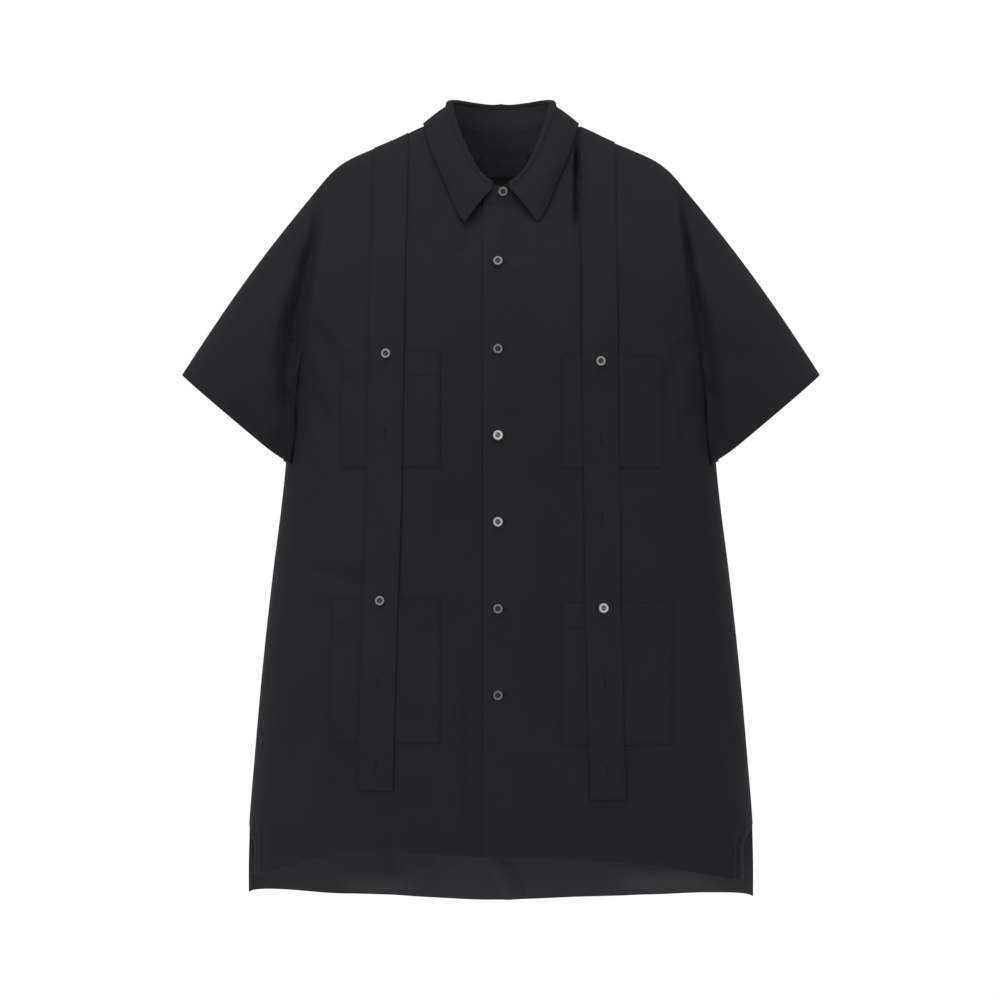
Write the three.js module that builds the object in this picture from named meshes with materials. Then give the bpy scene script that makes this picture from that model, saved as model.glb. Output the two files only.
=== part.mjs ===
// A short-sleeve shirt, filled out as if it were worn, and hollow.
// Millimetres, +Z up. The front faces -Y and the viewer's right is +X.
// The origin is in the middle of the neck, level with the collar's seam at the back.

import * as THREE from 'three';

// Cloth and sewing.
const CLOTH = 1.2; // wall of one layer of cloth
const SEAM_GAP = 0.3; // between two pieces that are sewn edge to edge
const LAYER = CLOTH + SEAM_GAP; // from the middle of one layer to the middle of the next
const SLACK = 0.2; // what a patch or strap stands off beyond that
const MITRE_LIMIT = 0.6; // least cosine between a wall and the slant it ends on
const BLACK = 0x232426;
const SATIN_BLACK = 0x303133;
const SHELL_GREY = 0x8d8b86;

// The hollow form. Its middle plane runs through the side seams and the shoulder seams.
const MIDDLE = 4; // y of that plane
const SQUARENESS = 2.4; // 2 would be an ellipse
const SHOULDER_END = 196; // from the middle of the shirt to the sleeve's seam
const ARMPIT = -312;

// Level sections: half width, and depth before and behind the middle plane.
const SECTIONS = [
  { z: -890, half: 283, front: 149, back: 152 },
  { z: -800, half: 282.5, front: 147, back: 150 },
  { z: -700, half: 275, front: 144, back: 146 },
  { z: -600, half: 266, front: 140, back: 142 },
  { z: -500, half: 255, front: 136, back: 137 },
  { z: -417, half: 244.5, front: 132, back: 133 },
  { z: -360, half: 239, front: 129.5, back: 130 },
  { z: -312, half: 236.5, front: 128, back: 127.5 },
  { z: -250, half: 236, front: 126, back: 127 },
  { z: -200, half: 236, front: 123, back: 126.5 },
  { z: -157, half: 236, front: 117, back: 124 },
  { z: -97, half: 236, front: 93, back: 113 },
  { z: -50, half: 236, front: 75, back: 97 },
  { z: 0, half: 236, front: 62, back: 92 },
  { z: 45, half: 236, front: 54, back: 88 },
];

// The two faces of the form, each with the level where it starts to round over to the shoulders.
const FRONT = { sign: -1, depth: 'front', roundsFrom: -300, crown: 2.2 };
const BACK = { sign: 1, depth: 'back', roundsFrom: -230, crown: 2.4 };

// Height of the shoulder seam, from the middle out.
const SHOULDER = [
  { x: 0, z: 31 },
  { x: 40, z: 20 },
  { x: 66, z: 9.5 },
  { x: 90, z: 0 },
  { x: 117, z: -13 },
  { x: 149, z: -26.5 },
  { x: 165, z: -33.5 },
  { x: 178, z: -41 },
  { x: 188, z: -49 },
  { x: 196, z: -57.5 },
];

// The armhole's seam as seen from the front, the same on the front and the back.
const ARMHOLE = [
  { z: -312, x: 236.5 },
  { z: -307, x: 233 },
  { z: -292, x: 227.5 },
  { z: -260, x: 222 },
  { z: -210, x: 215 },
  { z: -150, x: 206 },
  { z: -100, x: 199.5 },
  { z: -57.5, x: 196 },
];

// Hems, from the viewer's left to right. The back hangs lower than the front.
const HEM_LEVEL = -820; // about where the fronts end
const FRONT_HEM = [
  { x: -283, z: -835 },
  { x: -232, z: -817 },
  { x: -165, z: -800 },
  { x: -80, z: -802 },
  { x: 0, z: -806 },
  { x: 64, z: -807 },
  { x: 117, z: -810 },
  { x: 190, z: -818 },
  { x: 283, z: -840 },
];
const BACK_HEM = [
  { x: -283, z: -857 },
  { x: -170, z: -871 },
  { x: 0, z: -879 },
  { x: 170, z: -872 },
  { x: 283, z: -862 },
];

// Side vents: the front's free edge stands inside the back's.
const VENT_TOP = -778;
const VENT_SPREAD_OVER = 26; // height over which it opens
const VENT_STEP = { left: 7, right: 13 };
const VENT_PARTING = 0.0008; // share of the half width by which each edge ends short

// Soft folds in the panels: each grows from its top down to the hem.
const FOLDS = [
  { face: FRONT, x: -238, spread: 20, depth: -6, top: -470 },
  { face: FRONT, x: 240, spread: 20, depth: -7, top: -500 },
  { face: FRONT, x: -30, spread: 22, depth: -3, top: -640 },
  { face: BACK, x: -205, spread: 30, depth: -9, top: -380 },
  { face: BACK, x: -118, spread: 36, depth: 6, top: -330 },
  { face: BACK, x: -18, spread: 38, depth: -10, top: -300 },
  { face: BACK, x: 86, spread: 38, depth: 7, top: -360 },
  { face: BACK, x: 182, spread: 34, depth: -9, top: -340 },
];

// Front closing: the edge on the viewer's right lies over the other one.
const OVER_EDGE = -19.6; // x of the upper layer's free edge
const UNDER_EDGE = 13; // x of the lower layer's free edge
const OVERLAP_LIFT = LAYER + 0.4; // the upper layer's middle over the lower one's
const LIFT_ENDS = { full: 25, none: 60 }; // x where that lift fades out

// Neck seam, as seen from above: half width, and reach before and behind the middle plane.
const NECK_HALF = 66;
const NECK_FRONT = 76;
const NECK_BACK = 52;

// Collar. Angle 0 is the middle of the back and 180 the middle of the front.
// The stand rises and leans in; belly is how far the leaf bows out on its way down.
const COLLAR = [
  { angle: 0, rise: 28, lean: 3, belly: 2 },
  { angle: 22, rise: 28.6, lean: 4.2, belly: 1.8 },
  { angle: 45, rise: 25.5, lean: 6, belly: 1.5 },
  { angle: 90, rise: 18.6, lean: 9.5, belly: 0.5 },
  { angle: 110, rise: 21.5, lean: 10, belly: 2 },
  { angle: 135, rise: 31, lean: 12, belly: 4.5 },
  { angle: 160, rise: 29, lean: 9, belly: 3.5 },
  { angle: 180, rise: 24, lean: 4, belly: 1.5 },
];
const LEAF_END = 172; // angle where the leaf starts on the stand's edge
const LEAF_BACK = { half: 85, reach: 76 }; // the leaf's outer edge round the back, from above
const LEAF_REST_BACK = 4; // the leaf's middle above the back
// The leaf's edge from the shoulder to its point, and how far its middle rests above the front.
const LEAF_EDGE = [
  { angle: 90, x: 86, z: 2, rest: 4.4 },
  { angle: 103, x: 82, z: -12, rest: 5.8 },
  { angle: 117, x: 74.5, z: -36, rest: 5.1 },
  { angle: 135, x: 61, z: -68, rest: 4 },
  { angle: 152, x: 51.5, z: -93, rest: 3.6 },
  { angle: 164, x: 45, z: -106, rest: 3.4 },
  { angle: 172, x: 39.8, z: -113, rest: 3.4 },
];
// The leaf's turn over the stand's edge: out from the stand's middle, and up.
const LEAF_TURN = [
  { out: -0.6, up: 1.5 },
  { out: 2.2, up: 2.2 },
  { out: 4.2, up: 0.6 },
  { out: 5.4, up: -4 },
];

// Sleeves, seen from the front on the viewer's right: the hem runs from tip to corner.
const SLEEVE_TIP = { x: 357, z: -277 };
const SLEEVE_CORNER = { x: 242, z: -374 };
const SLEEVE_SQUARENESS = 4; // of its lower half's section at the hem
const SLEEVE_HEM_DEPTH = 62; // before and behind the middle plane
// Towards the hem the lower half tucks in against the side, about this share of the girth.
const SLEEVE_TUCK = { depth: 12, drop: 7, around: 0.2, spread: 0.075 };
const SLEEVE_CROWN = { height: 5, from: 0.33 }; // bows out between its seams, from this share on
const SLEEVE_STATIONS = [0, 0.035, 0.1, 0.22, 0.37, 0.53, 0.69, 0.85, 1];
const UNDERARM = { clearance: 9, spread: 0.035, width: 5 };
// Folds across a sleeve, by share of its length and of its girth; each slants as it runs down.
const SLEEVE_FOLDS = [
  { station: 0.42, along: 0.2, around: 0.3, slant: 0.35, spread: 0.07, depth: -5 },
  { station: 0.55, along: 0.22, around: -0.36, slant: 0.35, spread: 0.08, depth: -5 },
];

// Straps: caught in the shoulder seams, buttoned twice, square at the free end.
const STRAP_WIDTH = 38;
const STRAPS = [
  {
    node: 'strap_right',
    end: -733,
    route: [
      { z: -733, x: -136.3, inner: 4, outer: 4 },
      { z: -558, x: -132, inner: 3.8, outer: 3.8 },
      { z: -438, x: -128, inner: 3.7, outer: 3.7 },
      { z: -286, x: -125.2, inner: 3.6, outer: 3.6 },
      { z: -120, x: -123.4, inner: 2.6, outer: 2.4 },
      { z: 0, x: -122.5, inner: 1.8, outer: 1.8 },
    ],
  },
  {
    node: 'strap_left',
    end: -743,
    route: [
      { z: -743, x: 116, inner: 4, outer: 4 },
      { z: -535, x: 111, inner: 3.7, outer: 3.7 },
      { z: -265, x: 107.5, inner: 3.6, outer: 3.6 },
      { z: -125, x: 107, inner: 3, outer: 2.4 },
      { z: -60, x: 107.5, inner: 8, outer: 2.2 },
      { z: 0, x: 107.5, inner: 2, outer: 1.8 },
    ],
  },
];

// Patch pockets on the two fronts.
const POCKETS = [
  { node: 'pocket_chest_right', inner: -66.5, outer: -176, top: -255, bottom: -381 },
  { node: 'pocket_chest_left', inner: 66.5, outer: 176, top: -260, bottom: -382 },
  { node: 'pocket_lower_right', inner: -65.5, outer: -187, top: -526, bottom: -681 },
  { node: 'pocket_lower_left', inner: 65.5, outer: 188, top: -530, bottom: -684 },
];

// Neck label, sewn inside the back.
const LABEL = { x: 4, width: 51, top: -22.5, height: 26, inside: 2.1 };

// Buttons: dished discs with a round rim, as half a section from the foot to the dish.
const BUTTON_SIDES = 14;
const BUTTON_SECTION = [
  { radius: 0, up: 0 },
  { radius: 4.7, up: 0 },
  { radius: 5.7, up: 1.2 },
  { radius: 5, up: 2.4 },
  { radius: 3.9, up: 2.3 },
  { radius: 3.2, up: 1.5 },
  { radius: 0, up: 1.4 },
];
const CENTRE_BUTTON_X = -3;
const CENTRE_BUTTON_LEVELS = [-157, -252.5, -346.5, -441, -535.5, -629.5];
const STAND_BUTTON = { angle: 178, share: 0.74 }; // share of the stand's height
const STRAP_BUTTONS = [
  { strap: 0, z: -257 },
  { strap: 0, z: -527 },
  { strap: 1, z: -265.5 },
  { strap: 1, z: -535 },
];

// How finely the grids are drawn.
const NECK_STEPS_FRONT = 8;
const NECK_STEPS_BACK = 6; // from the middle to the shoulder
const SHOULDER_STEPS = 7;
const SKIRT_ROWS = 11; // from the hem to the armpit
const YOKE_ROWS = 13; // from the armpit to the top
const STAND_ROWS = 3;
const LEAF_ROWS = 4; // beyond its turn
const STRAP_COLUMNS = 4;
const STRAP_YOKE_ROWS = 18; // closer than the panels', because a strap lies on them
const POCKET_STEPS = 7;
const LABEL_ROWS = 3;
const LABEL_COLUMNS = 6;
const HALVINGS = 40; // when a height on the form is searched for

const radians = THREE.MathUtils.degToRad;
const mix = THREE.MathUtils.lerp;
const vector = (x, y, z) => new THREE.Vector3(x, y, z);

// Even steps that close up towards both ends of a stretch.
const eased = (share) => (1 - Math.cos(Math.PI * share)) / 2;

// Reads one column of a table on a smooth curve through its rows.
function read(table, key, column, at) {
  const rows = table[0][key] < table[table.length - 1][key] ? table : [...table].reverse();
  const last = rows.length - 1;
  const place = THREE.MathUtils.clamp(at, rows[0][key], rows[last][key]);
  let i = 0;
  while (i < last - 1 && place > rows[i + 1][key]) i += 1;
  const slope = (k) => {
    const a = rows[Math.max(k - 1, 0)];
    const b = rows[Math.min(k + 1, last)];
    return (b[column] - a[column]) / (b[key] - a[key]);
  };
  const width = rows[i + 1][key] - rows[i][key];
  const t = (place - rows[i][key]) / width;
  const rise = 3 * t ** 2 - 2 * t ** 3;
  const leave = (t ** 3 - 2 * t ** 2 + t) * width * slope(i);
  const arrive = (t ** 3 - t ** 2) * width * slope(i + 1);
  return mix(rows[i][column], rows[i + 1][column], rise) + leave + arrive;
}

const shoulderAt = (x) => read(SHOULDER, 'x', 'z', Math.abs(x));
const halfAt = (z) => read(SECTIONS, 'z', 'half', z);
const ventOpen = (z) => THREE.MathUtils.smoothstep(VENT_TOP - z, 0, VENT_SPREAD_OVER);

// How far a vent's front edge has stepped in, on the viewer's left or right.
function ventStep(face, x, z) {
  if (face !== FRONT) return 0;
  return ventOpen(z) * (x < 0 ? VENT_STEP.left : VENT_STEP.right);
}

function foldAt(face, x, z) {
  let sum = 0;
  for (const fold of FOLDS) {
    if (fold.face !== face) continue;
    const across = (x - fold.x) / fold.spread;
    const down = THREE.MathUtils.smoothstep(fold.top - z, 0, fold.top - HEM_LEVEL);
    sum += fold.depth * Math.exp(-across * across) * down;
  }
  return sum;
}

// How far the form lies before or behind its middle plane.
function depthAt(face, x, z) {
  const half = halfAt(z) - ventStep(face, x, z);
  const across = Math.min(Math.abs(x) / half, 1);
  const round = (1 - across ** SQUARENESS) ** (1 / SQUARENESS);
  const climb = (z - face.roundsFrom) / (shoulderAt(x) - face.roundsFrom);
  const level = THREE.MathUtils.clamp(climb, 0, 1);
  const over = (1 - level ** face.crown) ** (1 / face.crown);
  return (read(SECTIONS, 'z', face.depth, z) + foldAt(face, x, z)) * round * over;
}

const onForm = (face, x, z) => vector(x, MIDDLE + face.sign * depthAt(face, x, z), z);

function outwardAt(face, x, z) {
  const step = 0.6;
  const top = Math.min(z + step, shoulderAt(x));
  const across = onForm(face, x + step, z).sub(onForm(face, x - step, z));
  const up = onForm(face, x, top).sub(onForm(face, x, top - 2 * step));
  return across.cross(up).normalize().multiplyScalar(-face.sign);
}

// A point on the form, moved out along its normal.
function off(face, x, z, lift) {
  return onForm(face, x, z).addScaledVector(outwardAt(face, x, z), lift);
}

// The height where the form's top passes over a point of the plan.
function heightOver(face, x, y) {
  let low = face.roundsFrom;
  let high = shoulderAt(x);
  const wanted = Math.abs(y - MIDDLE);
  for (let i = 0; i < HALVINGS; i += 1) {
    const z = (low + high) / 2;
    if (depthAt(face, x, z) > wanted) low = z;
    else high = z;
  }
  return (low + high) / 2;
}

// The upper layer's lift over the lower one, which fades out beside the overlap.
function overlapLift(x) {
  return OVERLAP_LIFT * (1 - THREE.MathUtils.smoothstep(x, LIFT_ENDS.full, LIFT_ENDS.none));
}

const faceOf = (angle) => (Math.abs(angle) <= 90 ? BACK : FRONT);

// A point of the neck seam. The stand and the panels share it.
function neckSeam(angle, lift = 0) {
  const turn = radians(angle);
  const face = faceOf(angle);
  const reach = face === BACK ? NECK_BACK : NECK_FRONT;
  const x = NECK_HALF * Math.sin(turn);
  if (Math.abs(angle) === 90) return vector(x, MIDDLE, shoulderAt(x));
  const z = heightOver(face, x, MIDDLE + reach * Math.cos(turn));
  return lift ? off(face, x, z, lift) : onForm(face, x, z);
}

// The angle on the neck seam's front half where x is reached.
const frontAngle = (x) => 180 - THREE.MathUtils.radToDeg(Math.asin(x / NECK_HALF));
const OVER_END = frontAngle(OVER_EDGE);
const UNDER_END = frontAngle(UNDER_EDGE) - 360;

// Angles of the neck seam: the lower front, the back and the upper front.
function steps(from, to, count) {
  return Array.from({ length: count + 1 }, (_, i) => mix(from, to, i / count));
}
const UNDER_ANGLES = steps(UNDER_END, -90, NECK_STEPS_FRONT);
const BACK_ANGLES = steps(-90, 90, 2 * NECK_STEPS_BACK);
const OVER_ANGLES = steps(90, OVER_END, NECK_STEPS_FRONT);

// Sheets. A sheet is a grid of points in the middle of the cloth, as rows of columns.
// Seen from outside, its columns run to the right and its rows run up.
function makeSheet(node, rows, ring = false, colour = BLACK) {
  const sheet = { node, rows, ring, colour, normals: [], slants: [] };
  const lastRow = rows.length - 1;
  const lastColumn = rows[0].length - 1;
  const count = rows[0].length;
  rows.forEach((row, r) => {
    const line = row.map((point, c) => {
      const right = ring ? row[(c + 1) % count] : row[Math.min(c + 1, lastColumn)];
      const left = ring ? row[(c + count - 1) % count] : row[Math.max(c - 1, 0)];
      const above = rows[Math.min(r + 1, lastRow)][c];
      const below = rows[Math.max(r - 1, 0)][c];
      return right.clone().sub(left).cross(above.clone().sub(below)).normalize();
    });
    sheet.normals.push(line);
    sheet.slants.push([...line]);
  });
  return sheet;
}

function isBorder(sheet, r, c) {
  const lastColumn = sheet.rows[0].length - 1;
  return r === 0 || r === sheet.rows.length - 1 || (!sheet.ring && (c === 0 || c === lastColumn));
}

// Where sheets are sewn together their walls end on one common slant.
function shareNormals(sheets) {
  const shared = new Map();
  const keyOf = (p) => [p.x, p.y, p.z].map((value) => value.toFixed(3)).join();
  const visit = (action) => {
    for (const sheet of sheets) {
      sheet.rows.forEach((row, r) => row.forEach((point, c) => {
        if (isBorder(sheet, r, c)) action(sheet, r, c, keyOf(point));
      }));
    }
  };
  visit((sheet, r, c, key) => {
    if (!shared.has(key)) shared.set(key, vector(0, 0, 0));
    shared.get(key).add(sheet.normals[r][c]);
  });
  visit((sheet, r, c, key) => {
    sheet.slants[r][c] = shared.get(key).clone().normalize();
  });
}

// How much further a slanted border reaches to keep the cloth's thickness and the gap.
function mitre(sheet, r, c) {
  return 1 / Math.max(sheet.normals[r][c].dot(sheet.slants[r][c]), MITRE_LIMIT);
}

// Draws every border in by half a seam's gap, square to the border.
function drawIn(sheet) {
  const { rows, ring, normals } = sheet;
  const lastRow = rows.length - 1;
  const lastColumn = rows[0].length - 1;
  sheet.drawn = rows.map((row) => row.map((point) => point.clone()));
  const pull = (r, c, before, after) => {
    const inward = normals[r][c].clone().cross(after.clone().sub(before)).normalize();
    sheet.drawn[r][c].addScaledVector(inward, (SEAM_GAP / 2) * mitre(sheet, r, c));
  };
  rows.forEach((row, r) => row.forEach((point, c) => {
    const left = row[ring ? (c + lastColumn) % (lastColumn + 1) : Math.max(c - 1, 0)];
    const right = row[ring ? (c + 1) % (lastColumn + 1) : Math.min(c + 1, lastColumn)];
    const below = rows[Math.max(r - 1, 0)][c];
    const above = rows[Math.min(r + 1, lastRow)][c];
    if (r === 0) pull(r, c, left, right);
    if (r === lastRow) pull(r, c, right, left);
    if (!ring && c === 0) pull(r, c, above, below);
    if (!ring && c === lastColumn) pull(r, c, below, above);
  }));
}

// The closed wall of a sheet.
function wallMesh(sheet) {
  const { drawn, slants, ring } = sheet;
  const count = drawn[0].length;
  const height = drawn.length;
  const positions = [];
  for (const side of [CLOTH / 2, -CLOTH / 2]) {
    drawn.forEach((row, r) => row.forEach((point, c) => {
      const reach = side * mitre(sheet, r, c);
      positions.push(...point.clone().addScaledVector(slants[r][c], reach).toArray());
    }));
  }
  const outer = (r, c) => r * count + (c % count);
  const inner = (r, c) => height * count + outer(r, c);
  const faces = [];
  const corner = (i) => vector(positions[3 * i], positions[3 * i + 1], positions[3 * i + 2]);
  // Four corners are parted along the shorter diagonal, so that two seams' ends match.
  const quad = (a, b, c, d) => {
    const straight = corner(a).distanceTo(corner(c)) <= corner(b).distanceTo(corner(d));
    faces.push(...(straight ? [a, b, c, a, c, d] : [b, c, d, b, d, a]));
  };
  const spans = ring ? count : count - 1;
  const top = height - 1;
  for (let c = 0; c < spans; c += 1) {
    for (let r = 0; r < top; r += 1) {
      quad(outer(r, c), outer(r, c + 1), outer(r + 1, c + 1), outer(r + 1, c));
      quad(inner(r, c), inner(r + 1, c), inner(r + 1, c + 1), inner(r, c + 1));
    }
    quad(outer(0, c + 1), outer(0, c), inner(0, c), inner(0, c + 1));
    quad(outer(top, c), outer(top, c + 1), inner(top, c + 1), inner(top, c));
  }
  for (let r = 0; r < top && !ring; r += 1) {
    quad(outer(r, 0), outer(r + 1, 0), inner(r + 1, 0), inner(r, 0));
    quad(outer(r + 1, spans), outer(r, spans), inner(r, spans), inner(r + 1, spans));
  }
  const geometry = new THREE.BufferGeometry();
  geometry.setAttribute('position', new THREE.Float32BufferAttribute(positions, 3));
  geometry.setIndex(faces);
  geometry.computeVertexNormals();
  const material = new THREE.MeshStandardMaterial({ color: sheet.colour, roughness: 0.9 });
  const mesh = new THREE.Mesh(geometry, material);
  mesh.name = sheet.node;
  return mesh;
}

// Body panels. Each column runs from the hem up to the neck seam or the shoulder seam.
// side is 1 on the viewer's right and -1 on the left; inner is the free edge or the middle.
function panelColumns(face, side, inner, neckPoints, hem, lift) {
  const count = neckPoints.length - 1 + SHOULDER_STEPS;
  const tops = neckPoints.map((point) => ({ x: point.x * side, point }));
  for (let k = 1; k <= SHOULDER_STEPS; k += 1) {
    const x = mix(NECK_HALF, SHOULDER_END, k / SHOULDER_STEPS);
    tops.push({ x, point: vector(side * x, MIDDLE, shoulderAt(x)) });
  }
  return tops.map((top, k) => {
    const column = [];
    const even = Math.sin((Math.PI / 2) * (k / count));
    const topShare = (top.x - inner) / (SHOULDER_END - inner);
    const place = (x, z) => off(face, side * x, z, lift(side * x));
    for (let r = 0; r < SKIRT_ROWS; r += 1) {
      const rough = mix(inner, halfAt(HEM_LEVEL), even);
      const z = mix(read(hem, 'x', 'z', side * rough), ARMPIT, r / SKIRT_ROWS);
      const open = ventOpen(z);
      const edge = (halfAt(z) - ventStep(face, side, z)) * (1 - VENT_PARTING * open);
      const x = mix(inner, edge, even);
      if (k === count && open === 0) column.push(vector(side * x, MIDDLE, z));
      else column.push(place(x, z));
    }
    for (let r = 0; r <= YOKE_ROWS; r += 1) {
      const climb = eased(r / YOKE_ROWS);
      const z = mix(ARMPIT, top.point.z, climb);
      const edge = read(ARMHOLE, 'z', 'x', mix(ARMPIT, shoulderAt(SHOULDER_END), climb));
      const spread = Math.sin((Math.PI / 2) * (r / YOKE_ROWS));
      const x = mix(inner, edge, mix(even, topShare, spread));
      if (r === YOKE_ROWS) column.push(top.point);
      else if (k === count && r === 0) column.push(vector(side * edge, MIDDLE, z));
      else column.push(place(x, z));
    }
    return column;
  });
}

const turned = (columns) => columns[0].map((_, r) => columns.map((column) => column[r]));
const flat = () => 0;

function makeFronts() {
  const overNeck = [...OVER_ANGLES].reverse().map((angle) => neckSeam(angle, overNeckLift(angle)));
  const underNeck = UNDER_ANGLES.map((angle) => neckSeam(angle));
  const over = panelColumns(FRONT, 1, OVER_EDGE, overNeck, FRONT_HEM, overlapLift);
  const under = panelColumns(FRONT, -1, -UNDER_EDGE, underNeck, FRONT_HEM, flat);
  return [
    makeSheet('front_right', turned(under.reverse())),
    makeSheet('front_left', turned(over)),
  ];
}

// The neck seam of the upper layer, on the viewer's right, lifts as the panel does.
function overNeckLift(angle) {
  if (angle <= 90) return 0;
  return overlapLift(NECK_HALF * Math.sin(radians(angle)));
}

function makeBack() {
  const half = BACK_ANGLES.slice(NECK_STEPS_BACK);
  const right = panelColumns(BACK, 1, 0, half.map((angle) => neckSeam(angle)), BACK_HEM, flat);
  const mirrored = half.map((angle) => neckSeam(-angle));
  const left = panelColumns(BACK, -1, 0, mirrored, BACK_HEM, flat);
  return makeSheet('back', turned([...right.reverse(), ...left.slice(1)]));
}

// Sleeves. Each ring starts under the arm and runs up the front and down the back.
function makeSleeve(node, side, front, back) {
  const armhole = (sheet) => {
    const seam = [];
    for (let r = SKIRT_ROWS; r <= SKIRT_ROWS + YOKE_ROWS; r += 1) {
      const row = sheet.rows[r];
      const onRight = row[0].x * side > row[row.length - 1].x * side;
      seam.push(row[onRight ? 0 : row.length - 1]);
    }
    return seam;
  };
  const rising = armhole(front);
  const falling = armhole(back).reverse();
  const ring = [...rising, ...falling.slice(1, -1)];
  const lengths = [0];
  rising.slice(1).forEach((point, i) => lengths.push(lengths[i] + point.distanceTo(rising[i])));
  const whole = lengths[lengths.length - 1];
  const half = rising.length - 1;
  const rows = SLEEVE_STATIONS.map((station) => ring.map((start, i) => {
    const behind = i > half;
    const share = lengths[behind ? 2 * half - i : i] / whole;
    return sleevePoint(start, side, station, behind ? -share : share);
  }));
  rows[0] = ring;
  rows.reverse();
  if (side < 0) rows.forEach((row) => row.reverse());
  return makeSheet(node, rows, true);
}

// share runs from 0 under the arm to 1 on top, positive in front and negative behind.
function sleevePoint(start, side, station, share) {
  const turn = Math.PI * share;
  const power = Math.abs(share) < 0.5 ? 2 / SLEEVE_SQUARENESS : 1;
  const across = Math.sign(Math.cos(turn)) * Math.abs(Math.cos(turn)) ** power;
  const toTip = (1 - across) / 2;
  const hem = vector(
    side * mix(SLEEVE_CORNER.x, SLEEVE_TIP.x, toTip),
    MIDDLE - SLEEVE_HEM_DEPTH * Math.sign(share) * Math.abs(Math.sin(turn)) ** power,
    mix(SLEEVE_CORNER.z, SLEEVE_TIP.z, toTip),
  );
  const point = start.clone().lerp(hem, station);
  const bow = Math.sin(Math.PI * station);
  const spread = vector(side * (toTip - 0.5), -Math.sin(turn) / 2, toTip - 0.5).normalize();
  let swell = SLEEVE_CROWN.height * bow * Math.min(1, Math.abs(share) / SLEEVE_CROWN.from);
  for (const fold of SLEEVE_FOLDS) {
    const drop = station - fold.station;
    const around = (share - fold.around - fold.slant * drop) / fold.spread;
    const along = drop / fold.along;
    swell += fold.depth * Math.exp(-around * around - along * along);
  }
  point.addScaledVector(spread, swell);
  const opening = (1 - station) ** 2 * (1 - Math.exp(-station / UNDERARM.spread));
  const under = Math.exp(-((UNDERARM.width * share) ** 2));
  const near = Math.exp(-(((Math.abs(share) - SLEEVE_TUCK.around) / SLEEVE_TUCK.spread) ** 2));
  const tuck = near * station ** 2;
  point.x += side * (UNDERARM.clearance * opening * under - SLEEVE_TUCK.depth * tuck);
  point.z -= SLEEVE_TUCK.drop * tuck;
  return point;
}

// Collar stand: a band that rises from the neck seam, its ends lapped like the fronts.
const STAND_ANGLES = [...UNDER_ANGLES, ...BACK_ANGLES.slice(1), ...OVER_ANGLES.slice(1)];

function standPoint(angle, share) {
  const lift = overNeckLift(angle);
  const foot = neckSeam(angle, lift);
  const base = neckSeam(angle);
  const turn = radians(angle);
  const row = Math.min(Math.abs(angle), 360 - Math.abs(angle));
  const out = lift - read(COLLAR, 'angle', 'lean', row);
  const head = vector(
    base.x + out * Math.sin(turn),
    base.y + out * Math.cos(turn),
    base.z + read(COLLAR, 'angle', 'rise', row),
  );
  return foot.lerp(head, share);
}

function makeStand() {
  const rows = steps(0, 1, STAND_ROWS).map((share) => (
    [...STAND_ANGLES].reverse().map((angle) => standPoint(angle, share))
  ));
  return makeSheet('collar_stand', rows);
}

// Collar leaf: turns over the stand's edge and falls to rest near the panels.
function leafEdge(angle) {
  const size = Math.abs(angle);
  const side = Math.sign(angle) || 1;
  if (size >= 90) {
    const x = side * read(LEAF_EDGE, 'angle', 'x', size);
    const z = Math.min(read(LEAF_EDGE, 'angle', 'z', size), shoulderAt(x));
    return off(FRONT, x, z, read(LEAF_EDGE, 'angle', 'rest', size));
  }
  const turn = radians(angle);
  const x = LEAF_BACK.half * Math.sin(turn);
  const z = heightOver(BACK, x, MIDDLE + LEAF_BACK.reach * Math.cos(turn));
  return off(BACK, x, z, LEAF_REST_BACK);
}

function makeLeaf() {
  const between = STAND_ANGLES.filter((angle) => Math.abs(angle) < LEAF_END);
  const angles = [LEAF_END, ...between.reverse(), -LEAF_END];
  const turnRows = LEAF_TURN.map(({ out, up }) => angles.map((angle) => {
    const head = standPoint(angle, 1);
    const turn = radians(angle);
    return vector(head.x + out * Math.sin(turn), head.y + out * Math.cos(turn), head.z + up);
  }));
  const start = turnRows[turnRows.length - 1];
  const fallRows = steps(0, 1, LEAF_ROWS).slice(1).map((share) => start.map((from, i) => {
    const turn = radians(angles[i]);
    const belly = read(COLLAR, 'angle', 'belly', Math.abs(angles[i])) * Math.sin(Math.PI * share);
    const point = from.clone().lerp(leafEdge(angles[i]), share);
    point.x += belly * Math.sin(turn);
    point.y += belly * Math.cos(turn);
    point.z += belly / 2;
    return point;
  }));
  return makeSheet('collar_leaf', [...turnRows, ...fallRows].reverse());
}

// Straps lie on the fronts and pass over the pockets.
function strapPoint(strap, across, z) {
  const x = read(strap.route, 'z', 'x', z) + across * STRAP_WIDTH / 2;
  const inward = x > 0 ? -across : across;
  const inner = read(strap.route, 'z', 'inner', z);
  const outer = read(strap.route, 'z', 'outer', z);
  return { x, lift: mix(outer, inner, (inward + 1) / 2) };
}

function makeStrap(strap) {
  const levels = steps(strap.end, ARMPIT, SKIRT_ROWS).slice(0, -1).map((z) => ({ z }));
  steps(0, 1, STRAP_YOKE_ROWS).forEach((share) => levels.push({ climb: eased(share) }));
  const rows = levels.map(({ z, climb }) => steps(-1, 1, STRAP_COLUMNS).map((across) => {
    const topX = strapPoint(strap, across, 0).x;
    const level = z ?? mix(ARMPIT, shoulderAt(topX), climb);
    const { x, lift } = strapPoint(strap, across, level);
    return off(FRONT, x, Math.min(level, shoulderAt(x)), lift);
  }));
  return makeSheet(strap.node, rows);
}

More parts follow.
